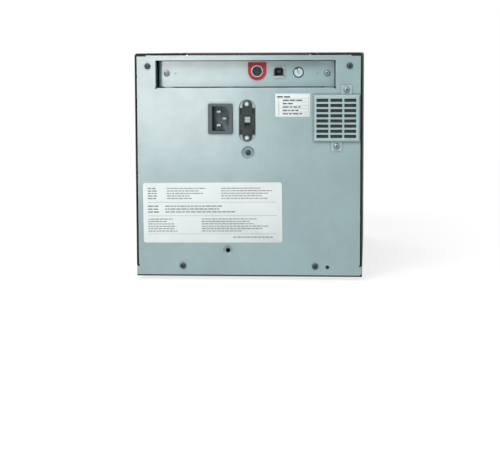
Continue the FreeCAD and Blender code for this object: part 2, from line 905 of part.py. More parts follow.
def rear_panel():
    """Zinc-plated rear panel: a blanked sheet with folded sides, a framed connector window,
    the pressed seat of the voltage selector and two pressed dimples."""
    panel = Piece("rear_panel")
    inner = "panel_face - gauge"
    panel.pad(
        "XZ",
        inner,
        "panel_face",
        polygon(
            ("-panel_half_low + 2", "panel_low"),
            ("panel_half_low", "panel_low"),
            ("panel_half_low", "lip_top + seam"),
            ("panel_half", "lip_top + seam"),
            ("panel_half", "panel_corner_z"),
            ("panel_corner_x", "panel_corner_z"),
            ("panel_corner_x", "panel_top"),
            ("-panel_corner_x", "panel_top"),
            ("-panel_corner_x", "panel_corner_z"),
            ("-panel_half", "panel_corner_z"),
            ("-panel_half", "lip_top + seam"),
            ("-panel_half_low", "lip_top + seam"),
            ("-panel_half_low", "panel_low + 2"),
        ),
    )
    # folded sides
    for left, right in (("panel_half - gauge", "panel_half"), ("-panel_half", "-panel_half + gauge")):
        side = rectangle(left, right, "base_flange_top + 4", "ear_low - 4")
        panel.pad("XZ", f"{inner} - panel_flange", inner, side)
    # connector window and the folds round three of its sides
    window = rectangle("window_left", "window_right", "window_low", "window_high")
    panel.pocket("XZ", f"{inner} - 1", "panel_face + 1", window)
    panel.pocket(
        "XZ",
        f"{inner} - 0.1",
        "panel_face + 1",
        circle("window_left", "window_low", "relief_radius"),
        circle("window_right", "window_low", "relief_radius"),
    )
    panel.fillet(
        "window_round",
        lambda edge: (runs_along(edge, "Z") or lies_at(edge, z="window_low"))
        and lies_at(edge, y="panel_face")
        and edge.Length > 20
        and value("window_left - 0.1") < edge.BoundBox.Center.x < value("window_right + 0.1"),
    )
    fold = ("io_face + seam", inner)
    panel.pad("XZ", *fold, rectangle("window_right", "window_right + gauge", "window_low", "window_high"))
    panel.pad("XZ", *fold, rectangle("window_left - gauge", "window_left", "window_low", "window_high"))
    across = ("window_left + gauge", "window_right - gauge")
    panel.pad("XZ", *fold, rectangle(*across, "window_low - gauge", "window_low"))
    # seat pressed for the voltage selector
    seat_back = f"{inner} - select_deep"
    grown = ("select_low - gauge", "select_high + gauge", "select_half + gauge")
    panel.pad("XZ", seat_back, inner, upright_slot("select_x", *grown))
    seat = upright_slot("select_x", "select_low", "select_high", "select_half")
    panel.pocket("XZ", "panel_face - select_deep", "panel_face", seat)
    panel.fillet(
        "select_round",
        lambda edge: lies_at(edge, y="panel_face")
        and value("select_low - 0.1") < edge.BoundBox.Center.z < value("select_high + 0.1")
        and abs(edge.BoundBox.Center.x - value("select_x")) < value("select_half + 0.1"),
    )
    body = rectangle(
        "select_x - select_body_half - 0.2",
        "select_x + select_body_half + 0.2",
        "select_block_low + 1.3",
        "select_block_high - 1.3",
    )
    panel.pocket("XZ", f"{seat_back} - 1", "panel_face - select_deep", body)
    # dimples, one round a screw and one round an open hole
    pressed_dimple(panel, "dimple_x", "dimple_z", "dimple_mouth")
    pressed_dimple(panel, "low_dimple_x", "low_dimple_z", "low_dimple_mouth")
    # openings for the inlet, the fan and the fasteners
    inset = "inlet_body_inset - 0.2"
    across = (f"inlet_left + {inset}", f"inlet_right - ({inset})")
    inlet = rectangle(*across, f"inlet_low + {inset}", f"inlet_high - ({inset})")
    holes = [
        circle("dimple_x", "dimple_z", "screw_hole"),
        circle("low_dimple_x", "low_dimple_z", "low_dimple_hole"),
        circle("fan_x", "fan_z", "fan_bore"),
        circle("spare_hole_x", "spare_hole_z", "2"),
        circle("guard_top_tab", "guard_high + guard_tab_reach / 2", "screw_hole"),
        circle("guard_low_tab", "guard_low - guard_tab_reach / 2", "screw_hole"),
    ]
    for side in ("", "-"):
        holes.append(circle(f"{side}upper_screw_x", "upper_screw_z", "screw_hole"))
        holes.append(circle(f"{side}lower_screw_x", "lower_screw_z", "screw_hole"))
        holes.append(hexagon(f"{side}(panel_half + 0.2)", "lip_top + seam", "2"))
    panel.pocket("XZ", f"{inner} - 4", "panel_face + 1", inlet, *holes)


def screw(x, z, face):
    """Screw with a tapered head, driven into a face that looks back along Y."""
    shank = rod("Y", f"({face}) - screw_long", face, (x, z), "screw_shank")
    head = cone("Y", face, f"({face}) + screw_tall", (x, z), "screw_head", "screw_head * 0.75")
    return joined(shank, head)


def screws():
    outer = [screw(f"{side}upper_screw_x", "upper_screw_z", "panel_face") for side in ("", "-")]
    outer += [screw(f"{side}lower_screw_x", "lower_screw_z", "panel_face") for side in ("", "-")]
    outer.append(screw("dimple_x", "dimple_z", "panel_face - dimple_deep"))
    group("panel_screws", outer)
    bright = [screw(x, "io_screw_z", "io_face") for x in ("io_screw_left", "io_screw_right")]
    proud = "panel_face + guard_wall"
    bright.append(screw("guard_top_tab", "guard_high + guard_tab_reach / 2", proud))
    bright.append(screw("guard_low_tab", "guard_low - guard_tab_reach / 2", proud))
    group("bright_screws", bright)


# ---------------------------------------------------------------- connector plate


def faces_outward(face):
    """Whether a face belongs to the bent sheet: its front, its ends and the bends between them."""
    open_sides = ((0, -1, 0), (0, 0, 1), (0, 0, -1))
    return not any(faces_toward(face, side) for side in open_sides)


def io_plate():
    """Recessed plate with rounded folds at its ends, cut out for the three connectors."""
    plate = Piece("io_plate")
    back = "io_face - io_thick"
    plate.pad("XZ", f"{back} - io_flange", "io_face", rectangle("io_left", "io_right", "io_low", "io_high"))
    for end in ("left", "right"):
        plate.fillet(
            f"io_bend_{end}",
            lambda edge: runs_along(edge, "Z") and lies_at(edge, x=f"io_{end}", y="io_face"),
        )
    plate.hollow("io_thick", lambda face: not faces_outward(face))
    usb = rectangle("usb_x - usb_half - 0.15", "usb_x + usb_half + 0.15", "usb_low - 0.15", "usb_high + 0.15")
    holes = [
        usb,
        circle("din_x", "din_z", "din_ring + 0.1"),
        circle("mode_x", "mode_z", "mode_collar + 0.2"),
        circle("io_screw_left", "io_screw_z", "screw_hole"),
        circle("io_screw_right", "io_screw_z", "screw_hole"),
        circle("io_pip_left", "io_screw_z", "1"),
        circle("io_pip_right", "io_screw_z", "1"),
    ]
    plate.pocket("XZ", f"{back} - 1", "io_face + 1", *holes)


def interface_shelf():
    """Shelf behind the connector plate, with two upright tabs and four board posts."""
    shelf = Piece("interface_shelf")
    outline = rectangle("shelf_left", "shelf_right", "shelf_front", "shelf_rear")
    shelf.pad("XY", "shelf_low", "shelf_top", outline)
    for left in ("io_screw_left - 6", "io_screw_right - 6"):
        tab = rectangle(left, f"{left} + 9", "shelf_low", "io_high - 2")
        shelf.pad("XZ", "shelf_rear - gauge", "io_face - io_thick", tab)
    posts = [hexagon(x, y, "standoff") for x in ("-70", "20") for y in ("154", "176")]
    shelf.pad("XY", "shelf_top", "board_top - board_thick", *posts)
    holes = [circle(x, "io_screw_z", "screw_hole") for x in ("io_screw_left", "io_screw_right")]
    shelf.pocket("XZ", "shelf_rear - 4", "io_face", *holes)


def interface_board():
    board = Piece("interface_board")
    outline = rectangle("-78", "28", "shelf_front - 1", "shelf_rear - 2")
    board.pad("XY", "board_top - board_thick", "board_top", outline)
    parts = [rectangle(x, f"{x} + 12", "151", "158") for x in ("-66", "-40", "-14", "10")]
    board.pad("XY", "board_top", "board_top + 3", *parts)


def usb_mouth(inset):
    """Outline of the square port's mouth, its upper corners cut off."""
    left, right = f"usb_x - usb_mouth_half + {inset}", f"usb_x + usb_mouth_half - {inset}"
    low, high = f"usb_mouth_low + {inset}", f"usb_mouth_high - {inset}"
    return polygon(
        (left, low),
        (right, low),
        (right, f"{high} - usb_chamfer"),
        (f"{right} - usb_chamfer", high),
        (f"{left} + usb_chamfer", high),
        (left, f"{high} - usb_chamfer"),
    )


def connectors():
    """The round, the square and the rotary connector, each standing on the interface board."""
    back = "io_face - io_thick"
    ring = Piece("mini_din_shell", "din_x", "io_face", "din_z")
    tube = (circle("0", "0", "din_ring"), circle("0", "0", "din_ring - din_ring_wall"))
    ring.pad("XZ", "-io_thick", "din_proud", *tube)

    insert = Piece("mini_din_insert")
    across = ("din_x - din_body_half", "din_x + din_body_half")
    insert.pad("XZ", f"{back} - 13", back, rectangle(*across, "board_top", "din_z + din_body_half - 1"))
    insert.pad("XZ", back, "io_face + 0.6", circle("din_x", "din_z", "din_ring - din_ring_wall - 0.05"))
    pins = []
    for turn in range(30, 360, 60):
        x, z = f"din_x + din_pin_ring * cos({turn})", f"din_z + din_pin_ring * sin({turn})"
        pins.append(hexagon(x, z, "din_pin"))
    key = rectangle("din_x - 0.6", "din_x + 0.6", "din_z - 1", "din_z + 1")
    insert.pocket("XZ", "io_face - 2", "io_face + 1", key, *pins)

    red = Piece("mini_din_surround")
    low = rectangle("din_x - surround_half", "din_x + surround_half", "din_z", "surround_top")
    red.pad("XZ", "io_face", "io_face + surround_thick", low)
    red.fillet("1.5", lambda edge: runs_along(edge, "Y") and lies_at(edge, z="surround_top"))
    red.pad("XZ", "io_face", "io_face + surround_thick", circle("din_x", "din_z", "surround_half"))
    red.pocket("XZ", "io_face - 1", "io_face + 2", circle("din_x", "din_z", "din_ring + 0.1"))

    shell = Piece("usb_shell")
    left, right = "usb_x - usb_half", "usb_x + usb_half"
    front = "io_face + usb_proud"
    shell.pad("XZ", f"{back} - usb_deep", front, rectangle(left, right, "usb_low", "usb_high"))
    rim = rectangle(f"{left} + usb_wall", f"{right} - usb_wall", "usb_low + usb_wall", "usb_high - usb_wall")
    shell.pocket("XZ", f"{front} - usb_lip", f"{front} + 1", rim)
    shell.pocket("XZ", f"{back} - usb_deep + 1", f"{front} + 1", usb_mouth("0"))
    shell.chamfer(
        "1",
        lambda edge: lies_at(edge, y=f"{front} - usb_lip")
        and edge.Length < 2 * value("usb_mouth_half + 0.1"),
    )

    liner = Piece("usb_tongue")
    inner = f"{back} - usb_deep + 1"
    liner.pad("XZ", inner, f"{front} - usb_lip - 1.5", usb_mouth("0.05"), usb_mouth("0.6"))
    tongue = ("usb_x - usb_tongue_half", "usb_x + usb_tongue_half", "usb_tongue_low", "usb_tongue_high")
    liner.pad("XZ", inner, f"{inner} + 1", usb_mouth("0.3"))
    liner.pad("XZ", inner, f"{front} - usb_lip - 0.6", rectangle(*tongue))

    body = Piece("mode_switch_body")
    across = ("mode_x - mode_body_half", "mode_x + mode_body_half")
    body.pad("XZ", f"{back} - 9", back, rectangle(*across, "board_top", "mode_z + mode_body_half"))
    body.pad("XZ", back, "io_face + 0.5", circle("mode_x", "mode_z", "mode_collar"))
    well = circle("mode_x", "mode_z", "mode_rotor + 0.1")
    body.pocket("XZ", "io_face - mode_floor - 0.1", "io_face + 1", well)

    rotor = Piece("mode_switch_rotor", "mode_x", "io_face", "mode_z")
    rotor.pad("XZ", "-mode_floor", "0.8", circle("0", "0", "mode_rotor"))
    # screwdriver slot across the rotor, and the pointer notch where it starts
    lean = "tan(mode_lean)"
    top, bottom, half = "mode_rotor + 1", "-mode_rotor / 3", "mode_slot / 2"
    slot = polygon(
        (f"({bottom}) * {lean} - {half}", bottom),
        (f"({bottom}) * {lean} + {half}", bottom),
        (f"({top}) * {lean} + {half}", top),
        (f"({top}) * {lean} - {half}", top),
    )
    rotor.pocket("XZ", "0", "1", slot)
    foot, reach = "mode_rotor / 5", "mode_rotor + 1"
    notch = polygon((foot, "mode_rotor / 2"), (f"{foot} + 0.6 * mode_rotor", reach), (f"{foot} / 2", reach))
    rotor.pocket("XZ", "-mode_floor - 1", "1", notch)


# ---------------------------------------------------------------- mains inlet and selector


def mains_inlet():
    """Three-pin appliance inlet lying on its side, flange outside and body through the panel."""
    inlet = Piece("power_inlet")
    flange = rectangle("inlet_left", "inlet_right", "inlet_low", "inlet_high")
    inlet.pad("XZ", "panel_face", "panel_face + inlet_proud", flange)
    inlet.fillet("1.5", lambda edge: runs_along(edge, "Y"))
    inlet.fillet("inlet_round", lambda edge: edge.BoundBox.YMin > value("panel_face + inlet_proud - 0.1"))
    body = rectangle(
        "inlet_left + inlet_body_inset",
        "inlet_right - inlet_body_inset",
        "inlet_low + inlet_body_inset",
        "inlet_high - inlet_body_inset",
    )
    inlet.pad("XZ", "inlet_back", "panel_face", body)
    socket = polygon(
        ("socket_left + socket_chamfer", "socket_low"),
        ("socket_right", "socket_low"),
        ("socket_right", "socket_high"),
        ("socket_left + socket_chamfer", "socket_high"),
        ("socket_left", "socket_high - socket_chamfer"),
        ("socket_left", "socket_low + socket_chamfer"),
    )
    inlet.pocket("XZ", "socket_floor", "panel_face + inlet_proud + 1", socket)

    pins = []
    lines = [("line_x", f"earth_z {side} line_spread") for side in ("+", "-")]
    for x, z in lines + [("earth_x", "earth_z")]:
        left, right = f"{x} - blade_long / 2", f"{x} + blade_long / 2"
        low, high = f"{z} - blade_thick / 2", f"{z} + blade_thick / 2"
        pins.append(block(left, right, "socket_floor", "blade_tip", low, high))
        pins.append(block(left, right, "terminal_back", "inlet_back", f"{z} - 0.4", f"{z} + 0.4"))
    group("inlet_pins", pins)


def voltage_selector():
    """Slide switch held in its pressed seat by two rivets, its ears rounded."""
    seat = "panel_face - select_deep"
    switch = Piece("voltage_switch_body")
    left, right = "select_x - select_block_half", "select_x + select_block_half"
    switch.pad("XZ", seat, f"{seat} + 1.4", rectangle(left, right, "select_block_low", "select_block_high"))
    ears = upright_slot("select_x", "select_ear_low", "select_ear_high", "select_ear_half")
    switch.pad("XZ", seat, f"{seat} + 0.8", ears)
    left, right = "select_x - select_body_half", "select_x + select_body_half"
    behind = rectangle(left, right, "select_block_low + 1.5", "select_block_high - 1.5")
    switch.pad("XZ", "select_back", seat, behind)
    # frame and track of the knob
    left, right = "knob_x - knob_half - knob_gap", "knob_x + knob_half + knob_gap"
    low, high = "knob_low - knob_travel - knob_gap", "knob_high + knob_gap"
    around = (f"{left} - knob_frame", f"{right} + knob_frame", f"{low} - knob_frame", f"{high} + knob_frame")
    switch.pad("XZ", f"{seat} + 1.4", f"{seat} + 1.9", rectangle(*around))
    switch.pocket("XZ", f"{seat} - 2", "panel_face + 1", rectangle(left, right, low, high))
    # notches beside the ears for the clips that hold the cover plate
    clips = []
    for start in ("select_clip_left", "select_clip_right"):
        end = f"{start} + select_clip_wide"
        clips.append(rectangle(start, end, "select_block_high - select_clip_long", "select_block_high + 1"))
        clips.append(rectangle(start, end, "select_block_low - 1", "select_block_low + select_clip_long"))
    switch.pocket("XZ", f"{seat} + 0.3", f"{seat} + 2", *clips)

    rivets = []
    for z in ("rivet_low", "rivet_high"):
        place = ("select_x + 0.5", z)
        rivets.append(cone("Y", f"{seat} + 0.8", f"{seat} + 2", place, "rivet_radius", "rivet_radius * 0.65"))
    group("voltage_switch_rivets", rivets)

    knob = Piece("voltage_switch_knob")
    left, right = "knob_x - knob_half", "knob_x + knob_half"
    knob.pad("XZ", f"{seat} - 1.8", "panel_face + 0.9", rectangle(left, right, "knob_low", "knob_high"))
    knob.chamfer("0.6", lambda edge: runs_along(edge, "X") and edge.BoundBox.YMin > value("panel_face + 0.8"))
    middle = "(knob_low + knob_high) / 2"
    groove = rectangle(f"{left} - 1", f"{right} + 1", f"{middle} - 0.6", f"{middle} + 0.6")
    knob.pocket("XZ", "panel_face + 0.3", "panel_face + 1", groove)


# ---------------------------------------------------------------- fan


def fan_guard():
    """Shallow box with three columns of slots, held by a tab above and a tab below."""
    guard = Piece("fan_guard")
    front = "panel_face + guard_proud"
    guard.pad("XZ", "panel_face", front, rectangle("guard_left", "guard_right", "guard_low", "guard_high"))
    guard.fillet("guard_edge", lambda edge: abs(edge.BoundBox.Center.y - value(front)) < 0.05)
    wide = ("guard_left + guard_wall", "guard_right - guard_wall")
    inside = rectangle(*wide, "guard_low + guard_wall", "guard_high - guard_wall")
    guard.pocket("XZ", "panel_face", f"{front} - guard_wall", inside)
    reach = "guard_tab_reach"
    tabs = (
        ("guard_top_tab", "guard_high", f"guard_high + {reach}"),
        ("guard_low_tab", f"guard_low - {reach}", "guard_low"),
    )
    for middle, low, high in tabs:
        tab = rectangle(f"{middle} - guard_tab_half", f"{middle} + guard_tab_half", low, high)
        guard.pad("XZ", "panel_face", "panel_face + guard_wall", tab)
    guard.fillet(
        "guard_tab_round",
        lambda edge: runs_along(edge, "Y")
        and (
            edge.BoundBox.Center.z > value(f"guard_high + {reach} - 0.1")
            or edge.BoundBox.Center.z < value(f"guard_low - {reach} + 0.1")
        ),
    )
    guard.pocket(
        "XZ",
        "panel_face - 1",
        "panel_face + 2 * guard_wall",
        circle("guard_top_tab", f"guard_high + {reach} / 2", "screw_hole"),
        circle("guard_low_tab", f"guard_low - {reach} / 2", "screw_hole"),
    )
    slots = []
    for column in range(3):
        left = f"guard_slot_x + {column} * guard_column"
        right = f"{left} + guard_slot_wide"
        slots.append(rectangle(left, right, "guard_slot_z", "guard_slot_z + guard_slot_high"))
    lowest = guard.pocket("XZ", f"{front} - 2 * guard_wall", f"{front} + 1", *slots)
    guard.row(lowest, "Z", "guard_rows", "guard_row")


def fan_filter():
    """Foam sheet held between the guard and the panel."""
    wall = "guard_wall + filter_gap"
    sheet = block(
        f"guard_left + {wall}",
        f"guard_right - ({wall})",
        "panel_face + filter_gap",
        "panel_face + filter_gap + filter_thick",
        f"guard_low + {wall}",
        f"guard_high - ({wall})",
    )
    node(sheet, "fan_filter")


def fan():
    """Square axial fan: a bored frame with a bearing cup on four spokes, and a pitched rotor."""
    back = "panel_face - gauge"
    front = f"{back} - fan_thick"
    frame = Piece("fan_frame")
    square = rectangle("fan_x - fan_half", "fan_x + fan_half", "fan_z - fan_half", "fan_z + fan_half")
    frame.pad("XZ", front, back, square)
    frame.fillet("3", lambda edge: runs_along(edge, "Y"))
    corners = [
        hexagon(f"fan_x {side} fan_screw", f"fan_z {rise} fan_screw", "3.4")
        for side in ("+", "-")
        for rise in ("+", "-")
    ]
    frame.pocket("XZ", f"{front} - 1", f"{back} + 1", circle("fan_x", "fan_z", "fan_bore"), *corners)
    level = rectangle("fan_x - fan_bore", "fan_x + fan_bore", "fan_z - 1.5", "fan_z + 1.5")
    upright = rectangle("fan_x - 1.5", "fan_x + 1.5", "fan_z - fan_bore", "fan_z + fan_bore")
    for spokes in (level, upright):
        frame.pad("XZ", front, f"{front} + 2", spokes)
    frame.pad("XZ", front, f"{front} + 2", circle("fan_x", "fan_z", "fan_hub"))

    hub = rod("Y", f"{front} + 2.5", f"{back} - 1", ("fan_x", "fan_z"), "fan_hub")
    blades = []
    chord = "(fan_thick - 6)"
    for number in range(int(value("fan_blades"))):
        blade = doc.addObject("Part::Box", "blade")
        blade.setExpression("Length", bound("fan_sweep - fan_hub + 1.5"))
        blade.setExpression("Width", bound(chord))
        blade.setExpression("Height", bound("fan_blade"))
        pitched = Placement(Vector(), Rotation(Vector(1, 0, 0), value("fan_pitch")))
        inner_end = Vector(value("fan_hub - 1.5"), -value(f"{chord} / 2"), -value("fan_blade / 2"))
        turned = Placement(Vector(), Rotation(Vector(0, 1, 0), 360 * number / value("fan_blades")))
        middle = Vector(value("fan_x"), value(f"{back} - fan_thick / 2 + 0.8"), value("fan_z"))
        blade.Placement = Placement(middle, Rotation()) * turned * pitched * Placement(inner_end, Rotation())
        blades.append(blade)
    swept = doc.addObject("Part::MultiCommon", "swept")
    limit = rod("Y", f"{front} + 2.5", f"{back} - 1", ("fan_x", "fan_z"), "fan_sweep")
    swept.Shapes = [joined(hub, *blades), limit]
    node(swept, "fan_rotor")


# ---------------------------------------------------------------- side plates


def side_plate(label, side):
    """One of the two folded plates that carry the mechanism, bored for every shaft."""
    plate = Piece(label)
    inner, outer = f"{side} * plate_inner", f"{side} * (plate_inner + plate_thick)"
    left, right = (inner, outer) if side == 1 else (outer, inner)
    floor = "foot_high + gauge"
    plate.pad(
        "YZ",
        left,
        right,
        polygon(
            ("plate_front", floor),
            ("plate_rear", floor),
            ("plate_rear", "plate_top - 20"),
            ("plate_rear - 20", "plate_top"),
            ("plate_front + 12", "plate_top"),
            ("plate_front", "plate_top - 12"),
        ),
    )
    foot = f"{side} * (plate_inner + plate_foot)"
    edges = (inner, foot) if side == 1 else (foot, inner)
    plate.pad("XY", floor, f"{floor} + plate_thick", rectangle(*edges, "plate_front", "plate_rear"))
    holes = [
        cut_square(f"plate_hole_rear - {step} * plate_hole_pitch", z, "plate_hole", "plate_hole_cut")
        for step in range(3)
        for z in ("plate_hole_high", "plate_hole_low")
    ]
    plate.pocket("YZ", f"{left} - 1", f"{right} + 1", *holes)
    fit = "bearing_fit"
    bores = [
        circle("pivot_y", "pivot_z", f"pivot_radius + {fit}"),
        circle("cam_y", "cam_z", f"cam_shaft + {fit}"),
        circle("platen_y", "platen_z", f"platen_shaft + {fit}"),
        circle("supply_y", "supply_z", f"spindle + {fit}"),
        circle("takeup_y", "takeup_z", f"spindle + {fit}"),
    ]
    if side == -1:
        bores.append(circle("pinion_y", "pinion_z", f"motor_boss + {fit}"))
    plate.pocket("YZ", f"{left} - 1", f"{right} + 1", *bores)


def cross_rods():
    """Round rods that tie the side plates together, two of them guiding the ribbon."""
    places = [("tie_front", "tie_low"), ("tie_front", "tie_high")]
    places += [("tie_rear", "tie_low"), ("tie_rear", "tie_high - 30")]
    places += [("bar_front", "bar_z"), ("bar_rear", "bar_z")]
    group("cross_rods", [rod("X", "-plate_inner", "plate_inner", place, "bar_radius") for place in places])


# ---------------------------------------------------------------- tray and drive


def tray_guides():
    """Moulded channels that the tray's edges run in, open over the print line."""
    bars = []
    for side in ("", "-"):
        ends = ("guide_inner", "plate_inner") if side == "" else ("-plate_inner", "-guide_inner")
        bar = block(*ends, "guide_front", "guide_rear", "guide_low", "guide_top")
        run = "tray_half + guide_play"
        inside = ("guide_inner - 1", run) if side == "" else (f"-({run})", "-guide_inner + 1")
        along = ("guide_front - 1", "guide_rear + 1")
        groove = block(*inside, *along, "tray_low - guide_play", "tray_top + guide_play")
        wide = ("guide_inner - 1", "plate_inner + 1")
        if side == "-":
            wide = ("-plate_inner - 1", "-guide_inner + 1")
        gap_start, gap_end = "bar_front - bar_radius - 2", "bar_rear + bar_radius + 2"
        gap = block(*wide, gap_start, gap_end, "tray_top + 0.1", "guide_top + 1")
        bars.append(less(less(bar, groove), gap))
    group("tray_guides", bars)


def disc_tray():
    """Moulded tray: disc seat with thumb scoops and hub socket, ribbed tail and a slot for the rack."""
    tray = Piece("disc_tray")
    tray.pad("XY", "tray_low", "tray_top", rectangle("-tray_half", "tray_half", "tray_front", "tray_rear"))
    tray.fillet("tray_corner", lambda edge: runs_along(edge, "Z"))
    tray.fillet("2", lambda edge: runs_along(edge, "X") and edge.BoundBox.Center.y < value("tray_front + 1"))
    tray.pocket("XY", "seat_floor", "tray_top + 1", circle("0", "disc_y", "disc_seat"))
    tray.pocket("XY", "relief_floor", "tray_top", circle("0", "disc_y", "seat_relief"))
    for side in ("", "-"):
        scoop = circle(f"{side}scoop_x", "disc_y", "scoop_radius - 1")
        tray.pocket("XY", "scoop_floor", "tray_top + 1", scoop)
    tray.pocket("XY", "hub_low", "tray_top", circle("0", "disc_y", "hub_radius + 0.05"))
    along = ("rib_pocket_front", "rib_pocket_front + rib_pocket_long")
    cell = rectangle("-rib_pocket_half", "-rib_wide / 2", *along)
    twin = rectangle("rib_wide / 2", "rib_pocket_half", *along)
    cells = tray.pocket("XY", "rib_pocket_floor", "tray_top + 1", cell, twin)
    tray.row(cells, "Y", "4", "rib_pocket_long + rib_wide")
    start, end = rack_span()
    tray.pocket("XY", "tray_low - 1", "rack_back", rectangle("rack_left", "rack_right", start, end))


def rack_span():
    """Front and rear ends of the rack, set by its teeth about the pinion."""
    pitch = "pi * rack_module"
    before = "20.5"
    start = f"pinion_y - {before} * {pitch}"
    return start, f"{start} + rack_teeth * {pitch}"


def tray_rack():
    """Straight-flanked rack let into the tray's underside."""
    rack = Piece("tray_rack")
    pitch = "pi * rack_module"
    start, end = rack_span()
    root = "rack_pitch_z + 1.25 * rack_module"
    tip = "rack_pitch_z - rack_module"
    rack.pad("XY", root, "rack_back", rectangle("rack_left", "rack_right", start, end))
    middle = f"{start} + {pitch} / 2"
    half = f"({pitch} / 4 - backlash / 2)"
    slope = "tan(20)"
    wide, narrow = f"{half} + 1.25 * rack_module * {slope}", f"{half} - rack_module * {slope}"
    tooth = polygon(
        (f"{middle} - ({wide})", root),
        (f"{middle} + ({wide})", root),
        (f"{middle} + ({narrow})", tip),
        (f"{middle} - ({narrow})", tip),
    )
    first = rack.pad("YZ", "rack_left", "rack_right", tooth)
    rack.row(first, "Y", "rack_teeth", pitch)


def cut_teeth(gear, module, teeth, left, right, play):
    """Cuts the gaps between a spur gear's teeth, one gap pointing straight up."""
    pitch_radius = f"({module} * {teeth} / 2)"
    half = f"(pi * {module} / 4 + {play} / 2)"
    root = f"{pitch_radius} - 1.25 * {module}"
    mouth = f"{pitch_radius} + 1.2 * {module}"
    low, high = f"({half} - 0.56 * {module})", f"({half} + 0.66 * {module})"
    gap = polygon((f"-{low}", root), (low, root), (high, mouth), (f"-{high}", mouth))
    first = gear.pocket("YZ", f"{left} - 1", f"{right} + 1", gap)
    gear.ring(first, "X", teeth)


def tray_pinion():
    """Pinion on the tray motor's shaft."""
    pinion = Piece("tray_pinion", "0", "pinion_y", "pinion_z")
    outer = "rack_module * (pinion_teeth / 2 + 1)"
    pinion.pad("YZ", "rack_left", "rack_right", circle("0", "0", outer))
    cut_teeth(pinion, "rack_module", "pinion_teeth", "rack_left", "rack_right", "backlash")
    pinion.pad("YZ", "-plate_inner - plate_thick - 8", "rack_left", circle("0", "0", "motor_shaft"))


def tray_motor():
    """Square stepper motor with cut corners, bored for its shaft."""
    start = "-plate_inner - plate_thick"
    motor = Piece("tray_motor")
    across = ("pinion_y - motor_half", "pinion_y + motor_half")
    square = rectangle(*across, "pinion_z - motor_half", "pinion_z + motor_half")
    motor.pad("YZ", f"{start} - motor_long", start, square)
    motor.chamfer("4", lambda edge: runs_along(edge, "X"))
    motor.pad("YZ", start, "-plate_inner", circle("pinion_y", "pinion_z", "motor_boss"))
    bore = circle("pinion_y", "pinion_z", "motor_shaft + bearing_fit")
    motor.pocket("YZ", f"{start} - 9", "-plate_inner + 1", bore)


def platen_roller():
    """Rubber-covered roller under the print line, turned with its two journals."""
    roller = Piece("platen_roller", "0", "platen_y", "platen_z")
    end = "plate_inner + plate_thick"
    roller.revolve(
        "XZ",
        "H_Axis",
        polygon(
            (f"-({end})", "0"),
            (end, "0"),
            (end, "platen_shaft"),
            ("platen_right", "platen_shaft"),
            ("platen_right", "platen_radius - 0.6"),
            ("platen_right - 0.6", "platen_radius"),
            ("platen_left + 0.6", "platen_radius"),
            ("platen_left", "platen_radius - 0.6"),
            ("platen_left", "platen_shaft"),
            (f"-({end})", "platen_shaft"),
        ),
    )


def disc_hub():
    """Centring hub split into six sprung fingers."""
    hub = Piece("disc_hub", "0", "disc_y", "0")
    hub.pad("XY", "hub_low", "hub_top", circle("0", "0", "hub_radius"))
    hub.chamfer("0.8", lambda edge: edge.BoundBox.Center.z > value("hub_top - 0.1"))
    hub.pocket("XY", "hub_low + 2", "hub_top + 1", circle("0", "0", "hub_radius - 2"))
    slot = rectangle("0", "hub_radius + 1", "-hub_slot / 2", "hub_slot / 2")
    first = hub.pocket("XY", "hub_low + 2", "hub_top + 1", slot)
    hub.ring(first, "Z", "6")


# ---------------------------------------------------------------- print head


def print_head():
    """Head bar with cooling fins, its carrier swinging on the pivot shaft."""
    head = Piece("thermal_head")
    head.pad("YZ", "-head_half", "head_half", rectangle("head_front", "head_rear", "head_low", "head_top"))
    middle = "(head_front + head_rear) / 2"
    ridge = polygon(
        (f"{middle} - ridge_half - 2", "head_low"),
        (f"{middle} - ridge_half", "ridge_low"),
        (f"{middle} + ridge_half", "ridge_low"),
        (f"{middle} + ridge_half + 2", "head_low"),
    )
    head.pad("YZ", "-head_half", "head_half", ridge)
    left = "-fin_pitch * (fin_count - 1) / 2 - 4"
    gap = rectangle(left, f"{left} + 8", "head_front - 1", "head_front + 8")
    first = head.pocket("XY", "head_low + 2.5", "head_top + 1", gap)
    head.row(first, "X", "fin_count", "fin_pitch")

    carrier = Piece("head_carrier")
    web = "head_top + carrier_wall"
    roof = rectangle("head_front", "pivot_y - 14", "head_top", web)
    carrier.pad("YZ", "-carrier_half", "carrier_half", roof)
    cheek = polygon(
        ("head_front", "head_top"),
        ("pivot_y - 6", "head_top"),
        ("pivot_y + 8", "pivot_z - 6"),
        ("pivot_y + 8", "pivot_z + 4"),
        ("pivot_y + 4", "pivot_z + 8"),
        ("pivot_y - 5", "pivot_z + 8"),
        ("pivot_y - 20", f"{web} + 2"),
        ("head_front", f"{web} + 2"),
    )
    carrier.pad("YZ", "-carrier_half", "-carrier_half + carrier_wall", cheek)
    carrier.pad("YZ", "carrier_half - carrier_wall", "carrier_half", cheek)
    bore = circle("pivot_y", "pivot_z", "pivot_radius + bearing_fit")
    carrier.pocket("YZ", "-carrier_half - 1", "carrier_half + 1", bore)

    end = "plate_inner + plate_thick"
    shaft = rod("X", f"-({end})", end, ("pivot_y", "pivot_z"), "pivot_radius")
    node(shaft, "head_pivot_shaft")


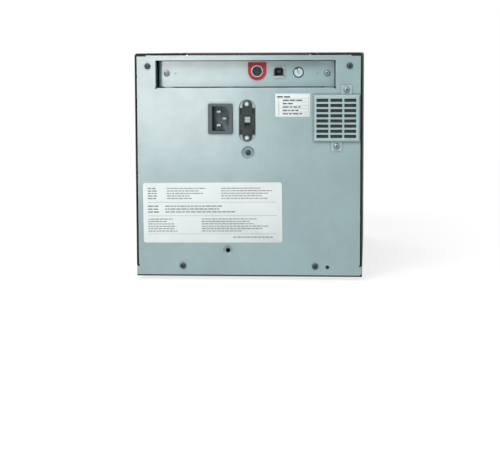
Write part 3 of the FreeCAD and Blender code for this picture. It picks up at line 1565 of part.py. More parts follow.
def head_cams():
    """Shaft with two eccentric cams that press the carrier down."""
    end = "plate_inner + plate_thick"
    pieces = [rod("X", f"-({end}) - 10", end, ("cam_y", "cam_z"), "cam_shaft")]
    for left in ("-cam_x - cam_wide", "cam_x"):
        pieces.append(rod("X", left, f"{left} + cam_wide", ("cam_y", "cam_z + cam_offset"), "cam_radius"))
    node(joined(*pieces), "head_cam_shaft")

    motor = Piece("head_cam_motor")
    start = "-plate_inner - plate_thick"
    motor.pad("YZ", f"{start} - cam_motor_long", start, circle("cam_y", "cam_z", "cam_motor_radius"))
    ears = rectangle("cam_y - cam_motor_radius - 7", "cam_y + cam_motor_radius + 7", "cam_z - 5", "cam_z + 5")
    motor.pad("YZ", f"{start} - 2", start, ears)
    motor.pocket("YZ", f"{start} - 11", f"{start} + 1", circle("cam_y", "cam_z", "cam_shaft + bearing_fit"))


# ---------------------------------------------------------------- ribbon


def spool(label, y, z, flange):
    """Moulded ribbon core with a flange at each end."""
    core = Piece(label, "0", y, z)
    inside = "spool_half - spool_flange"
    core.revolve(
        "XZ",
        "H_Axis",
        polygon(
            ("-spool_half", "core_inner"),
            ("spool_half", "core_inner"),
            ("spool_half", flange),
            (inside, flange),
            (inside, "core_outer"),
            (f"-({inside})", "core_outer"),
            (f"-({inside})", flange),
            ("-spool_half", flange),
        ),
    )
    return core


def wound_ribbon(label, y, z, wound):
    roll = Piece(label, "0", y, z)
    roll.revolve("XZ", "H_Axis", rectangle("-ribbon_half", "ribbon_half", "core_outer", wound))


def spool_spindle(label, y, z, right):
    """Spindle with two hubs that fill the core's ends."""
    shaft = Piece(label, "0", y, z)
    left = "-plate_inner - plate_thick"
    hub = "spool_half - 14"
    fill = "core_inner - slip_fit"
    shaft.revolve(
        "XZ",
        "H_Axis",
        polygon(
            (left, "0"),
            (right, "0"),
            (right, "spindle"),
            ("spool_half", "spindle"),
            ("spool_half", fill),
            (hub, fill),
            (hub, "spindle"),
            (f"-({hub})", "spindle"),
            (f"-({hub})", fill),
            ("-spool_half", fill),
            ("-spool_half", "spindle"),
            (left, "spindle"),
        ),
    )


def ribbon_drive():
    """Take-up wheel outside the right side plate, its drive gear and the motor that turns it."""
    wheel = Piece("takeup_gear", "0", "takeup_y", "takeup_z")
    wheel.pad("YZ", "gear_left", "gear_right", circle("0", "0", "gear_module * (gear_teeth / 2 + 1)"))
    cut_teeth(wheel, "gear_module", "gear_teeth", "gear_left", "gear_right", "gear_play")
    wheel.pocket("YZ", "gear_left - 1", "gear_right + 1", circle("0", "0", "spindle + slip_fit"))
    hole = wheel.pocket("YZ", "gear_left - 1", "gear_right + 1", circle("0", "13", "4.5"))
    wheel.ring(hole, "X", "5")

    apart = "gear_module * (gear_teeth + drive_teeth) / 2 * sqrt(0.5)"
    y, z = f"takeup_y + {apart}", f"takeup_z - {apart}"
    drive = Piece("ribbon_drive_gear", "0", y, z)
    drive.pad("YZ", "gear_left", "gear_right", circle("0", "0", "gear_module * (drive_teeth / 2 + 1)"))
    cut_teeth(drive, "gear_module", "drive_teeth", "gear_left", "gear_right", "gear_play")
    drive.pad("YZ", "gear_right", "ribbon_motor_left + 8", circle("0", "0", "motor_shaft"))

    # motor on its flange, which stands off the side plate on two posts
    motor = Piece("ribbon_motor")
    flange, end = "ribbon_motor_left - 2", "ribbon_motor_left + ribbon_motor_long"
    motor.pad("YZ", "ribbon_motor_left", end, circle(y, z, "ribbon_motor_radius"))
    motor.chamfer("1.5", lambda edge: edge.BoundBox.Center.x > value(f"{end} - 0.1"))
    plate = rectangle(f"{y} - 24", f"{y} + 24", f"{z} - 24", f"{z} + 8")
    motor.pad("YZ", flange, "ribbon_motor_left", plate)
    posts = [hexagon(f"{y} {side} 20", f"{z} - 20", "standoff") for side in ("+", "-")]
    motor.pad("YZ", "plate_inner + plate_thick", flange, *posts)
    bore = circle(y, z, "motor_shaft + bearing_fit")
    motor.pocket("YZ", f"{flange} - 1", "ribbon_motor_left + 9", bore)


def crossing_line(first, first_radius, second, second_radius):
    """Ends of the straight run that crosses between two rounds, leaving the first on its front side."""
    apart = second - first
    bearing = math.atan2(apart.z, apart.y)
    lean = math.acos((first_radius + second_radius) / apart.Length)
    outward = min((bearing + lean, bearing - lean), key=math.cos)
    normal = Vector(0, math.cos(outward), math.sin(outward))
    return first + normal * first_radius, second - normal * second_radius


def wrap(centre, start, end, radius):
    """Arc of the film round the underside of a guide rod."""
    lean = ((start - centre).normalize() + (end - centre).normalize()).normalize()
    return Part.Arc(start, centre + lean * radius, end).toShape()


def ribbon_film():
    """Ribbon between the spools: off the supply, under both guide rods and up to the take-up."""
    thick = value("film_thick")
    centres = {name: Vector(0, value(f"{name}_y"), value(f"{name}_z")) for name in ("supply", "takeup")}
    rear, front = (Vector(0, value(y), value("bar_z")) for y in ("bar_rear", "bar_front"))
    reach = value("bar_radius") + 0.6 * thick
    leave, meet = crossing_line(centres["supply"], value("supply_wound") + thick, rear, reach)
    part_from, arrive = crossing_line(front, reach, centres["takeup"], value("takeup_wound") + thick)
    rear_low, front_low = rear - Vector(0, 0, reach), front - Vector(0, 0, reach)
    path = Part.Wire(
        [
            Part.LineSegment(leave, meet).toShape(),
            wrap(rear, meet, rear_low, reach),
            Part.LineSegment(rear_low, front_low).toShape(),
            wrap(front, front_low, part_from, reach),
            Part.LineSegment(part_from, arrive).toShape(),
        ]
    )
    edge = Vector(value("-ribbon_half"), 0, 0)
    path.translate(edge)
    band = path.makeOffset2D(thick / 2, 0, True, True)
    film = doc.addObject("Part::Feature", "ribbon_film")
    film.Shape = band.extrude(-2 * edge)
    film.Placement = Placement()
    node(film, "ribbon_film")


# ---------------------------------------------------------------- electronics


def power_supply():
    """Folded supply case with rows of cooling slots."""
    case = Piece("power_supply")
    floor = "foot_high + gauge"
    outline = rectangle("supply_case_left", "supply_case_right", "supply_case_front", "supply_case_rear")
    case.pad("XY", floor, "supply_case_top", outline)
    case.fillet("1.5", lambda edge: edge.BoundBox.Center.z > value("supply_case_top - 0.1"))
    along = ("supply_case_front + 14", "supply_case_front + 18")
    slot = rectangle("supply_case_left + 12", "supply_case_right - 12", *along)
    first = case.pocket("XY", "supply_case_top - 3", "supply_case_top + 1", slot)
    case.row(first, "Y", "8", "14")


def logic_board():
    """Control board on four posts, with its connectors, capacitors and driver heatsink."""
    board = Piece("logic_board")
    outline = rectangle("-logic_half", "logic_half", "logic_front", "logic_rear")
    board.pad("XY", "logic_low", "logic_low + board_thick", outline)
    posts = [
        hexagon(x, y, "standoff")
        for x in ("-logic_half + 6", "logic_half - 6")
        for y in ("logic_front + 6", "logic_rear - 6")
    ]
    board.pad("XY", "foot_high + gauge", "logic_low", *posts)
    top = "logic_low + board_thick"
    headers = [rectangle(x, f"{x} + 18", "logic_front + 4", "logic_front + 12") for x in ("-42", "-12", "18")]
    board.pad("XY", top, f"{top} + 8", *headers)
    chips = [rectangle(x, f"{x} + 22", y, f"{y} + 22") for x, y in (("-44", "-120"), ("10", "-116"))]
    board.pad("XY", top, f"{top} + 2.4", *chips)
    cans = [circle(x, "-40", "6") for x in ("-38", "-20", "-2")]
    board.pad("XY", top, f"{top} + 16", *cans)
    sink = rectangle("20", "52", "-66", "-62")
    first = board.pad("XY", top, f"{top} + 18", sink)
    board.row(first, "Y", "5", "8")


# ---------------------------------------------------------------- front


def front_bezel():
    """Moulded front: a rounded shell with the lid channel, the tray slot in its collar
    and a sunken operator panel."""
    bezel = Piece("front_bezel")
    bezel.pad(
        "XZ",
        "front_face",
        "bezel_back",
        polygon(
            ("-half_wide", "foot_high"),
            ("half_wide", "foot_high"),
            ("half_wide", "body_top"),
            ("channel_half", "body_top"),
            ("channel_half", "channel_floor"),
            ("-channel_half", "channel_floor"),
            ("-channel_half", "body_top"),
            ("-half_wide", "body_top"),
        ),
    )
    bezel.fillet(
        "cover_corner",
        lambda edge: runs_along(edge, "Y")
        and abs(abs(edge.BoundBox.Center.x) - value("half_wide")) < 0.1
        and edge.BoundBox.Center.z > value("channel_floor"),
    )
    bezel.hollow("bezel_wall", lambda face: faces_toward(face, (0, 1, 0)))
    bezel.fillet(
        "bezel_edge",
        lambda edge: edge.BoundBox.YMax < value("front_face + 0.1")
        and (abs(edge.BoundBox.Center.x) > value("half_wide - 4") or lies_at(edge, z="foot_high")),
    )
    bezel.fillet("channel_round", channel_edge)
    wall = "front_face + bezel_wall"
    across = ("-slot_half - collar_wall", "slot_half + collar_wall")
    collar = rectangle(*across, "slot_low - collar_wall", "slot_high + collar_wall")
    bezel.pad("XZ", wall, "bezel_back", collar)
    backing = ("panel_pad_left - bezel_wall", "panel_pad_right + bezel_wall")
    behind = rectangle(*backing, "panel_pad_low - 3", "panel_pad_high + 3")
    bezel.pad("XZ", wall, f"{wall} + panel_pad_deep", behind)
    slot = rectangle("-slot_half", "slot_half", "slot_low", "slot_high")
    bezel.pocket("XZ", "front_face - 1", "bezel_back + 1", slot)
    notch = ("rack_left - rack_gap", "rack_right + rack_gap", "slot_low - collar_wall - 1", "slot_low + 1")
    bezel.pocket("XZ", "front_face - 1", "bezel_back + 1", rectangle(*notch))
    pad = rectangle("panel_pad_left", "panel_pad_right", "panel_pad_low", "panel_pad_high")
    bezel.pocket("XZ", "front_face - 1", "front_face + panel_pad_deep", pad)
    bezel.fillet(
        "4",
        lambda edge: runs_along(edge, "Y")
        and edge.BoundBox.YMin < value("front_face + 0.1")
        and edge.Length < value("panel_pad_deep + 0.1")
        and edge.BoundBox.Center.x > value("panel_pad_left - 1"),
    )
    holes = [circle("button_x", z, f"{radius} + button_gap") for z, radius in BUTTONS.values()]
    for step in (-1, 0, 1):
        left = f"button_x + {step} * lens_pitch - lens_half"
        holes.append(rectangle(left, f"{left} + 2 * lens_half", "lens_z - lens_tall", "lens_z + lens_tall"))
    bezel.pocket("XZ", "front_face", f"{wall} + panel_pad_deep + 1", *holes)


BUTTONS = {
    "power_button": ("power_z", "power_radius"),
    "eject_button": ("eject_z", "button_radius"),
}


def buttons():
    """Push buttons: a domed cap through the panel, a flange behind it and a stem to the switch."""
    back = "front_face + bezel_wall + panel_pad_deep"
    for label, (z, radius) in BUTTONS.items():
        cap = Piece(label, "button_x", "0", z)
        front = "front_face + panel_pad_deep - button_proud"
        cap.pad("XZ", front, f"{back} + 0.2", circle("0", "0", radius))
        cap.chamfer("0.5", lambda edge: edge.BoundBox.YMax < value(f"{front} + 0.1"))
        cap.pad("XZ", f"{back} + 0.2", f"{back} + 1.2", circle("0", "0", f"{radius} + button_flange"))
        cap.pad("XZ", f"{back} + 1.2", "button_board - 3.5", rectangle("-2", "2", "-2", "2"))


def button_board():
    board = Piece("button_board")
    across = ("panel_pad_left + 3", "panel_pad_right - 3")
    outline = rectangle(*across, "panel_pad_low + 1", "panel_pad_high - 1")
    board.pad("XZ", "button_board", "button_board + board_thick", outline)
    switches = []
    for z, _ in BUTTONS.values():
        switches.append(rectangle("button_x - 3", "button_x + 3", f"{z} - 3", f"{z} + 3"))
    board.pad("XZ", "button_board - 2", "button_board", *switches)
    across = ("panel_pad_left + 6", "panel_pad_right - 6")
    posts = [hexagon(x, z, "4") for x in across for z in ("panel_pad_low + 19", "panel_pad_high - 16")]
    board.pad("XZ", "front_face + bezel_wall + panel_pad_deep", "button_board", *posts)


def status_lenses():
    lenses = []
    for step in (-1, 0, 1):
        middle = f"button_x + {step} * lens_pitch"
        lens = block(
            f"{middle} - lens_half + 0.1",
            f"{middle} + lens_half - 0.1",
            "front_face + panel_pad_deep - 0.3",
            "button_board",
            "lens_z - lens_tall + 0.1",
            "lens_z + lens_tall - 0.1",
        )
        lenses.append(lens)
    group("status_lenses", lenses)


# ---------------------------------------------------------------- build, check and write


def build():
    base_pan()
    rubber_feet()
    outer_cover()
    top_lid()
    hinge_leaf()
    hinge_pin()
    rear_panel()
    screws()
    io_plate()
    interface_shelf()
    interface_board()
    connectors()
    mains_inlet()
    voltage_selector()
    fan_guard()
    fan_filter()
    fan()
    side_plate("right_side_plate", 1)
    side_plate("left_side_plate", -1)
    cross_rods()
    tray_guides()
    disc_tray()
    tray_rack()
    tray_pinion()
    tray_motor()
    platen_roller()
    disc_hub()
    print_head()
    head_cams()
    spool("supply_spool", "supply_y", "supply_z", "supply_flange")
    wound_ribbon("supply_ribbon", "supply_y", "supply_z", "supply_wound")
    spool_spindle("supply_spindle", "supply_y", "supply_z", "plate_inner + plate_thick")
    spool("takeup_spool", "takeup_y", "takeup_z", "takeup_flange")
    wound_ribbon("takeup_ribbon", "takeup_y", "takeup_z", "takeup_wound")
    spool_spindle("takeup_spindle", "takeup_y", "takeup_z", "gear_right")
    ribbon_drive()
    ribbon_film()
    power_supply()
    logic_board()
    front_bezel()
    buttons()
    button_board()
    status_lenses()
    doc.recompute()


def check():
    """Stops if any object failed, any sub-part is not a sound solid, or a cut removed nothing."""
    faults = [thing.Name for thing in doc.Objects if {"Invalid", "Error"} & set(thing.State)]
    for thing in NODES:
        if thing.Shape.isNull() or not thing.Shape.isValid() or not thing.Shape.Solids:
            faults.append(thing.Label + " shape")
    faults += [name + " cut nothing" for name, before, after in CUTS if not after < before]
    if faults:
        raise RuntimeError("failed: " + ", ".join(faults))


def write():
    os.makedirs("parts", exist_ok=True)
    for thing in NODES:
        thing.Shape.exportStep(f"parts/{thing.Label}.step")


build()
check()
write()
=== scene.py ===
import json
import math
import random

import bmesh
import bpy
from mathutils import Matrix, Vector


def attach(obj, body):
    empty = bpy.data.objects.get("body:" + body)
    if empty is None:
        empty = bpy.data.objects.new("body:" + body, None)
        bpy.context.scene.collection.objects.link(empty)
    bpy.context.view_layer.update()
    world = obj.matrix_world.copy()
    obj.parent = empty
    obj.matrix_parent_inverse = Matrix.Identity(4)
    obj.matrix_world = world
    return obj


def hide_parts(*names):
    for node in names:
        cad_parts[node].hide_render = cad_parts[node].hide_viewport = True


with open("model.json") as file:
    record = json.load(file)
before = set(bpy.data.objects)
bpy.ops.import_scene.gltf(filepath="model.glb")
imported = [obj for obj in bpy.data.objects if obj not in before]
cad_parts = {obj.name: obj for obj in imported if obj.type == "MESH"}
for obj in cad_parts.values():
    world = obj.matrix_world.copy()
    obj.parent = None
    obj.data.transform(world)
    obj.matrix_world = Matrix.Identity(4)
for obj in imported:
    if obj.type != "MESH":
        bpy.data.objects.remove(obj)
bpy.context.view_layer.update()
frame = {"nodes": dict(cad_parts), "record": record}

# Disc label printer, seen from its connector side: +X is the operator's right, +Y the connector side and
# +Z up. The printer's lengths and the camera's place are written in millimetres and turned into metres by
# MM, and the floor and the lamps are in metres.

MM = 0.001
NODES = frame["nodes"]

# faces of the connector side, as places along Y
PANEL_FACE = 196
DIMPLE_FLOOR = 194.2
GUARD_FACE = 197
PLATE_FACE = 185
# height of the row of screws and holes in the connector plate
PLATE_ROW = 214.3

SEEN_FROM_REAR = Matrix(((-1, 0, 0), (0, 0, 1), (0, 1, 0))).transposed()

SKY_LEVEL = 0.13
WHITE = (1.0, 1.0, 1.0)
WARM = (1.0, 0.91, 0.88)


# ---------------------------------------------------------------- node trees

FLOAT = "NodeSocketFloat"
VECTOR = "NodeSocketVector"
# colour sockets of a Mix node
MIX_FACTOR, MIX_FIRST, MIX_SECOND, MIX_RESULT = 0, 6, 7, 2


def add_node(tree, kind, inputs=None, **settings):
    """Adds a node, sets its options, and fills its inputs with values or with other nodes' outputs."""
    node = tree.nodes.new(kind)
    for option, value in settings.items():
        setattr(node, option, value)
    for socket, value in (inputs or {}).items():
        if isinstance(value, bpy.types.NodeSocket):
            tree.links.new(value, node.inputs[socket])
        else:
            node.inputs[socket].default_value = value
    return node


def maths(tree, operation, *values, clamp=False):
    """A Math node's output."""
    inputs = dict(enumerate(values))
    return add_node(tree, "ShaderNodeMath", inputs, operation=operation, use_clamp=clamp).outputs[0]


def blend_colours(tree, factor, first, second):
    """Colour that goes from the first to the second as the factor goes from 0 to 1."""
    inputs = {MIX_FACTOR: factor, MIX_FIRST: first, MIX_SECOND: second}
    return add_node(tree, "ShaderNodeMix", inputs, data_type="RGBA").outputs[MIX_RESULT]


def spread(tree, value, low, high, to_low=0.0, to_high=1.0, smooth=False):
    """The value carried from one range to another, held at both ends."""
    kind = "SMOOTHSTEP" if smooth else "LINEAR"
    places = {"Value": value, "From Min": low, "From Max": high, "To Min": to_low, "To Max": to_high}
    return add_node(tree, "ShaderNodeMapRange", places, interpolation_type=kind).outputs[0]


def object_place(tree):
    """Place on the piece, in its own frame, so that a pattern moves with its body."""
    return add_node(tree, "ShaderNodeTexCoord").outputs["Object"]


def face_normal(tree):
    """Normal of the mesh, before any bump."""
    return add_node(tree, "ShaderNodeNewGeometry").outputs["Normal"]


def part_of(tree, vector, axis):
    """One of the X, Y and Z of a vector."""
    return add_node(tree, "ShaderNodeSeparateXYZ", {"Vector": vector}).outputs[axis]


def noise(tree, place, scale, detail=2.0, roughness=0.5):
    """Noise value about 0.5."""
    inputs = {"Vector": place, "Scale": scale, "Detail": detail, "Roughness": roughness}
    return add_node(tree, "ShaderNodeTexNoise", inputs).outputs["Fac"]


def cell_edges(tree, place, scale, distance="EUCLIDEAN"):
    """Distance to the nearest edge of a pattern of cells."""
    inputs = {"Vector": place, "Scale": scale}
    cells = add_node(tree, "ShaderNodeTexVoronoi", inputs, feature="DISTANCE_TO_EDGE", distance=distance)
    return cells.outputs["Distance"]


def new_group(name, inputs, outputs):
    """An empty node group with named sockets: the tree, its inputs, and a function to set an output."""
    tree = bpy.data.node_groups.new(name, "ShaderNodeTree")
    for socket, (kind, default) in inputs.items():
        tree.interface.new_socket(socket, in_out="INPUT", socket_type=kind).default_value = default
    for socket, kind in outputs.items():
        tree.interface.new_socket(socket, in_out="OUTPUT", socket_type=kind)
    entry = tree.nodes.new("NodeGroupInput")
    leave = tree.nodes.new("NodeGroupOutput")

    def give(socket, value):
        tree.links.new(value, leave.inputs[socket])

    return tree, entry.outputs, give


def grain_group():
    """Fine texture of a powder coat or an etched mould: Height for bump, Fleck for colour."""
    inputs = {"Size": (FLOAT, 0.0008), "Sharpness": (FLOAT, 0.5)}
    tree, given, give = new_group("fine grain", inputs, {"Height": FLOAT, "Fleck": FLOAT})
    coarseness = 0.31
    place = object_place(tree)
    scale = maths(tree, "DIVIDE", 1.0, given["Size"])
    fine = noise(tree, place, scale, 3.0, given["Sharpness"])
    coarse = noise(tree, place, maths(tree, "MULTIPLY", scale, coarseness), 1.0)
    give("Height", maths(tree, "MULTIPLY", fine, maths(tree, "ADD", coarse, 0.5)))
    give("Fleck", spread(tree, fine, 0.35, 0.68, smooth=True))
    return tree


def rolling_group():
    """Marks that a rolling mill leaves in sheet: long streaks along one direction, and faint clouds."""
    inputs = {"Stretch": (VECTOR, (400.0, 400.0, 8.0)), "Cloud Size": (FLOAT, 0.05)}
    tree, given, give = new_group("rolling marks", inputs, {"Streak": FLOAT, "Cloud": FLOAT})
    place = object_place(tree)
    stretch = {0: place, 1: given["Stretch"]}
    stretched = add_node(tree, "ShaderNodeVectorMath", stretch, operation="MULTIPLY").outputs[0]
    give("Streak", noise(tree, stretched, 1.0, 4.0, 0.6))
    cloud = noise(tree, place, maths(tree, "DIVIDE", 1.0, given["Cloud Size"]), 3.0, 0.55)
    give("Cloud", spread(tree, cloud, 0.32, 0.68, smooth=True))
    return tree


def edge_group():
    """Rounded look of a piece's edges: the softened Normal, and how near an edge is, as Wear."""
    inputs = {"Radius": (FLOAT, 0.0004), "Patches": (FLOAT, 0.004)}
    tree, given, give = new_group("worn edges", inputs, {"Normal": VECTOR, "Wear": FLOAT})
    soft = add_node(tree, "ShaderNodeBevel", {"Radius": given["Radius"]}, samples=6).outputs[0]
    both = {0: soft, 1: face_normal(tree)}
    facing = add_node(tree, "ShaderNodeVectorMath", both, operation="DOT_PRODUCT").outputs["Value"]
    near = spread(tree, facing, 0.995, 0.86)
    patches = noise(tree, object_place(tree), maths(tree, "DIVIDE", 1.0, given["Patches"]), 3.0)
    give("Normal", soft)
    give("Wear", maths(tree, "MULTIPLY", near, spread(tree, patches, 0.4, 0.62, 0.15, 1.0)))
    return tree


def handling_group():
    """Fingerprints and cleaning marks as Smudge, and Dust on what faces up."""
    inputs = {"Size": (FLOAT, 0.03)}
    tree, given, give = new_group("handling marks", inputs, {"Smudge": FLOAT, "Dust": FLOAT})
    specks_to_a_smudge = 22.0
    place = object_place(tree)
    scale = maths(tree, "DIVIDE", 1.0, given["Size"])
    broad = noise(tree, place, scale, 4.0, 0.6)
    give("Smudge", spread(tree, broad, 0.36, 0.66, smooth=True))
    faces_up = spread(tree, part_of(tree, face_normal(tree), "Z"), 0.4, 1.0)
    speckle = noise(tree, place, maths(tree, "MULTIPLY", scale, specks_to_a_smudge), 2.0)
    settled = maths(tree, "MULTIPLY", faces_up, speckle, clamp=True)
    give("Dust", maths(tree, "MULTIPLY", settled, broad))
    return tree


def corner_group():
    """Painted shade in inside corners, where little light comes, found by ambient occlusion: Open is 1
    outside them and less in a corner."""
    inputs = {"Reach": (FLOAT, 0.003), "Depth": (FLOAT, 0.5)}
    tree, given, give = new_group("inside corners", inputs, {"Open": FLOAT})
    reach = {"Distance": given["Reach"]}
    nearby = add_node(tree, "ShaderNodeAmbientOcclusion", reach, samples=8).outputs["AO"]
    # painted shade: the colour is darkened by as much as the nearby surfaces shut out
    shut = maths(tree, "MULTIPLY", maths(tree, "SUBTRACT", 1.0, nearby), given["Depth"])
    give("Open", maths(tree, "SUBTRACT", 1.0, shut, clamp=True))
    return tree


GRAIN = grain_group()
ROLLING = rolling_group()
EDGES = edge_group()
HANDLING = handling_group()
CORNER_SHADE = corner_group()


def use_group(tree, group, **inputs):
    """Places one of the groups and returns its outputs."""
    node = tree.nodes.new("ShaderNodeGroup")
    node.node_tree = group
    for socket, value in inputs.items():
        node.inputs[socket.replace("_", " ")].default_value = value
    return node.outputs


# ---------------------------------------------------------------- finishes

BLACK = (0.0, 0.0, 0.0, 1.0)
DUST = (0.42, 0.40, 0.37, 1.0)
AGED_PAPER = (0.70, 0.70, 0.66, 1.0)


def new_material(name):
    """A material with its node tree and its shader."""
    material = bpy.data.materials.new(name)
    material.use_nodes = True
    tree = material.node_tree
    return material, tree, tree.nodes["Principled BSDF"]


def tint(colour, amount=1.0):
    """The colour made lighter or darker."""
    return tuple(min(1.0, channel * amount) for channel in colour) + (1.0,)


def relief(tree, height, depth, normal):
    """Bump of a real depth in metres, on top of a normal."""
    inputs = {"Height": height, "Distance": depth, "Strength": 1.0, "Normal": normal}
    return add_node(tree, "ShaderNodeBump", inputs).outputs[0]


def moulded(
    name,
    colour,
    roughness=0.5,
    smudged=0.05,
    grain=0.5,
    depth=0.02,
    worn=1.35,
    coat=0.0,
    dusty=0.15,
    gloss=0.5,
):
    """Plastic, rubber or powder coat: a fine grain, paler rubbed edges, smudges and a little dust.
    Grain and depth, the size and height of the grain, are in millimetres."""
    material, tree, shader = new_material(name)
    darker, paler = 0.93, 1.06
    rub_share, rub_lift = 0.55, 0.03
    edge_radius = 0.35 * MM
    grains = use_group(tree, GRAIN, Size=grain * MM)
    edges = use_group(tree, EDGES, Radius=edge_radius)
    marks = use_group(tree, HANDLING)
    speckled = blend_colours(tree, grains["Fleck"], tint(colour, darker), tint(colour, paler))
    rubbed = tint([channel + rub_lift for channel in colour], worn)
    body = blend_colours(tree, maths(tree, "MULTIPLY", edges["Wear"], rub_share), speckled, rubbed)
    dusted = blend_colours(tree, maths(tree, "MULTIPLY", marks["Dust"], dusty), body, DUST)
    sheen = spread(tree, marks["Smudge"], 0.0, 1.0, roughness - smudged, roughness + smudged)
    normal = relief(tree, grains["Height"], depth * MM, edges["Normal"])
    tree.links.new(dusted, shader.inputs["Base Color"])
    tree.links.new(sheen, shader.inputs["Roughness"])
    tree.links.new(normal, shader.inputs["Normal"])
    shader.inputs["Coat Weight"].default_value = coat
    shader.inputs["Specular IOR Level"].default_value = gloss
    return material


def metal(
    name,
    colour,
    roughness=0.3,
    streak=(500, 500, 500),
    lines=0.35,
    cloud=30,
    worn=1.12,
    full=1.0,
    film=0.0,
    corner=2.5,
    shade_depth=0.45,
    gloss=0.5,
):
    """Bare or plated metal: streaks along its grain, faint clouds in the plating, brighter edges, painted
    shade in its inside corners, and over it a clear film. Cloud and corner are in millimetres. Lines is
    how plainly the streaks show, full is how metallic it is, and shade depth is how dark the painted shade
    in the inside corners is."""
    material, tree, shader = new_material(name)
    darker, paler, streak_shade = 0.95, 1.04, 0.86
    rub_share = 0.7
    edge_radius = 0.3 * MM
    faint, plain = 0.3, 0.7
    streak_depth = 0.012 * lines * MM
    streak_sheen = 0.14 * lines
    cloud_sheen = 0.03
    film_roughness, film_ior = 0.19, 1.6
    marks = use_group(tree, ROLLING, Stretch=streak, Cloud_Size=cloud * MM)
    edges = use_group(tree, EDGES, Radius=edge_radius)
    unshaded = use_group(tree, CORNER_SHADE, Reach=corner * MM, Depth=shade_depth)["Open"]
    clouded = blend_colours(tree, marks["Cloud"], tint(colour, darker), tint(colour, paler))
    streaks = spread(tree, marks["Streak"], faint, plain, 0.0, lines)
    streaked = blend_colours(tree, streaks, clouded, tint(colour, streak_shade))
    rubbed = maths(tree, "MULTIPLY", edges["Wear"], rub_share)
    bright = blend_colours(tree, rubbed, streaked, tint(colour, worn))
    dull_streaks = spread(tree, marks["Streak"], faint, plain, -streak_sheen, streak_sheen)
    dull_clouds = spread(tree, marks["Cloud"], 0.0, 1.0, cloud_sheen, -cloud_sheen)
    sheen = maths(tree, "ADD", maths(tree, "ADD", dull_streaks, roughness), dull_clouds)
    normal = relief(tree, marks["Streak"], streak_depth, edges["Normal"])
    # painted shade: the colour goes towards black in the inside corners
    tree.links.new(blend_colours(tree, unshaded, BLACK, bright), shader.inputs["Base Color"])
    tree.links.new(sheen, shader.inputs["Roughness"])
    tree.links.new(normal, shader.inputs["Normal"])
    shader.inputs["Metallic"].default_value = full
    shader.inputs["Specular IOR Level"].default_value = gloss
    shader.inputs["Coat Weight"].default_value = film
    shader.inputs["Coat Roughness"].default_value = film_roughness
    shader.inputs["Coat IOR"].default_value = film_ior
    return material


def zinc(name, colour, full=0.25, corner=2.5, shade_depth=0.45):
    """Zinc-plated sheet with the rolling marks across it, under a clear film, with painted shade in its
    inside corners.
    """
    return metal(
        name,
        colour,
        roughness=0.50,
        streak=(9, 9, 700),
        lines=0.1,
        full=full,
        film=1.0,
        corner=corner,
        shade_depth=shade_depth,
    )


def shut_corners(material, reach, depth):
    """Paints shade into a finish's inside corners, darkening its colour towards black; reach is in
    millimetres.
    """
    tree = material.node_tree
    colour_in = tree.nodes["Principled BSDF"].inputs["Base Color"]
    unshaded = use_group(tree, CORNER_SHADE, Reach=reach * MM, Depth=depth)["Open"]
    plain = colour_in.links[0].from_socket
    # painted shade: the colour goes towards black in the corners
    tree.links.new(blend_colours(tree, unshaded, BLACK, plain), colour_in)
    return material


def deep_socket(material, mouth, floor, shaded_wall, pale):
    """Paints shade on a socket's walls behind its mouth and paints its floor paler, as if lit. Mouth and
    floor are places along Y, in millimetres."""
    lip = 1.5
    blend = 0.2
    tree = material.node_tree
    colour_in = tree.nodes["Principled BSDF"].inputs["Base Color"]
    flange = colour_in.links[0].from_socket
    along = part_of(tree, object_place(tree), "Y")
    past_floor = spread(tree, along, (floor - blend) * MM, (floor + blend) * MM)
    past_mouth = spread(tree, along, (mouth - lip) * MM, mouth * MM)
    inside = blend_colours(tree, past_floor, tint(pale), tint(shaded_wall))
    # painted shade on the walls behind the mouth, painted light on the floor
    tree.links.new(blend_colours(tree, past_mouth, inside, flange), colour_in)
    return material


def paper(name, colour):
    """Printed label stock: faint fibre, and smudges that age it."""
    material, tree, shader = new_material(name)
    grains = use_group(tree, GRAIN, Size=1.1 * MM)
    marks = use_group(tree, HANDLING, Size=24 * MM)
    body = blend_colours(tree, grains["Fleck"], tint(colour, 0.975), tint(colour, 1.01))
    aged = blend_colours(tree, maths(tree, "MULTIPLY", marks["Smudge"], 0.18), body, AGED_PAPER)
    sheen = spread(tree, marks["Smudge"], 0.0, 1.0, 0.62, 0.76)
    normal = relief(tree, grains["Height"], 0.006 * MM, face_normal(tree))
    tree.links.new(aged, shader.inputs["Base Color"])
    tree.links.new(sheen, shader.inputs["Roughness"])
    tree.links.new(normal, shader.inputs["Normal"])
    shader.inputs["Specular IOR Level"].default_value = 0.12
    return material


def foam(name, colour):
    """Open-cell foam: pores painted dark as shade in its openings, between fine paler struts."""
    material, tree, shader = new_material(name)
    pores_per_metre = 900.0
    edges = cell_edges(tree, object_place(tree), pores_per_metre)
    struts = spread(tree, edges, 0.04, 0.16, 1.0, 0.0)
    body = blend_colours(tree, struts, tint(colour, 0.6), tint(colour, 3.2))
    normal = relief(tree, struts, 0.4 * MM, face_normal(tree))
    tree.links.new(body, shader.inputs["Base Color"])
    tree.links.new(normal, shader.inputs["Normal"])
    shader.inputs["Roughness"].default_value = 0.7
    return material


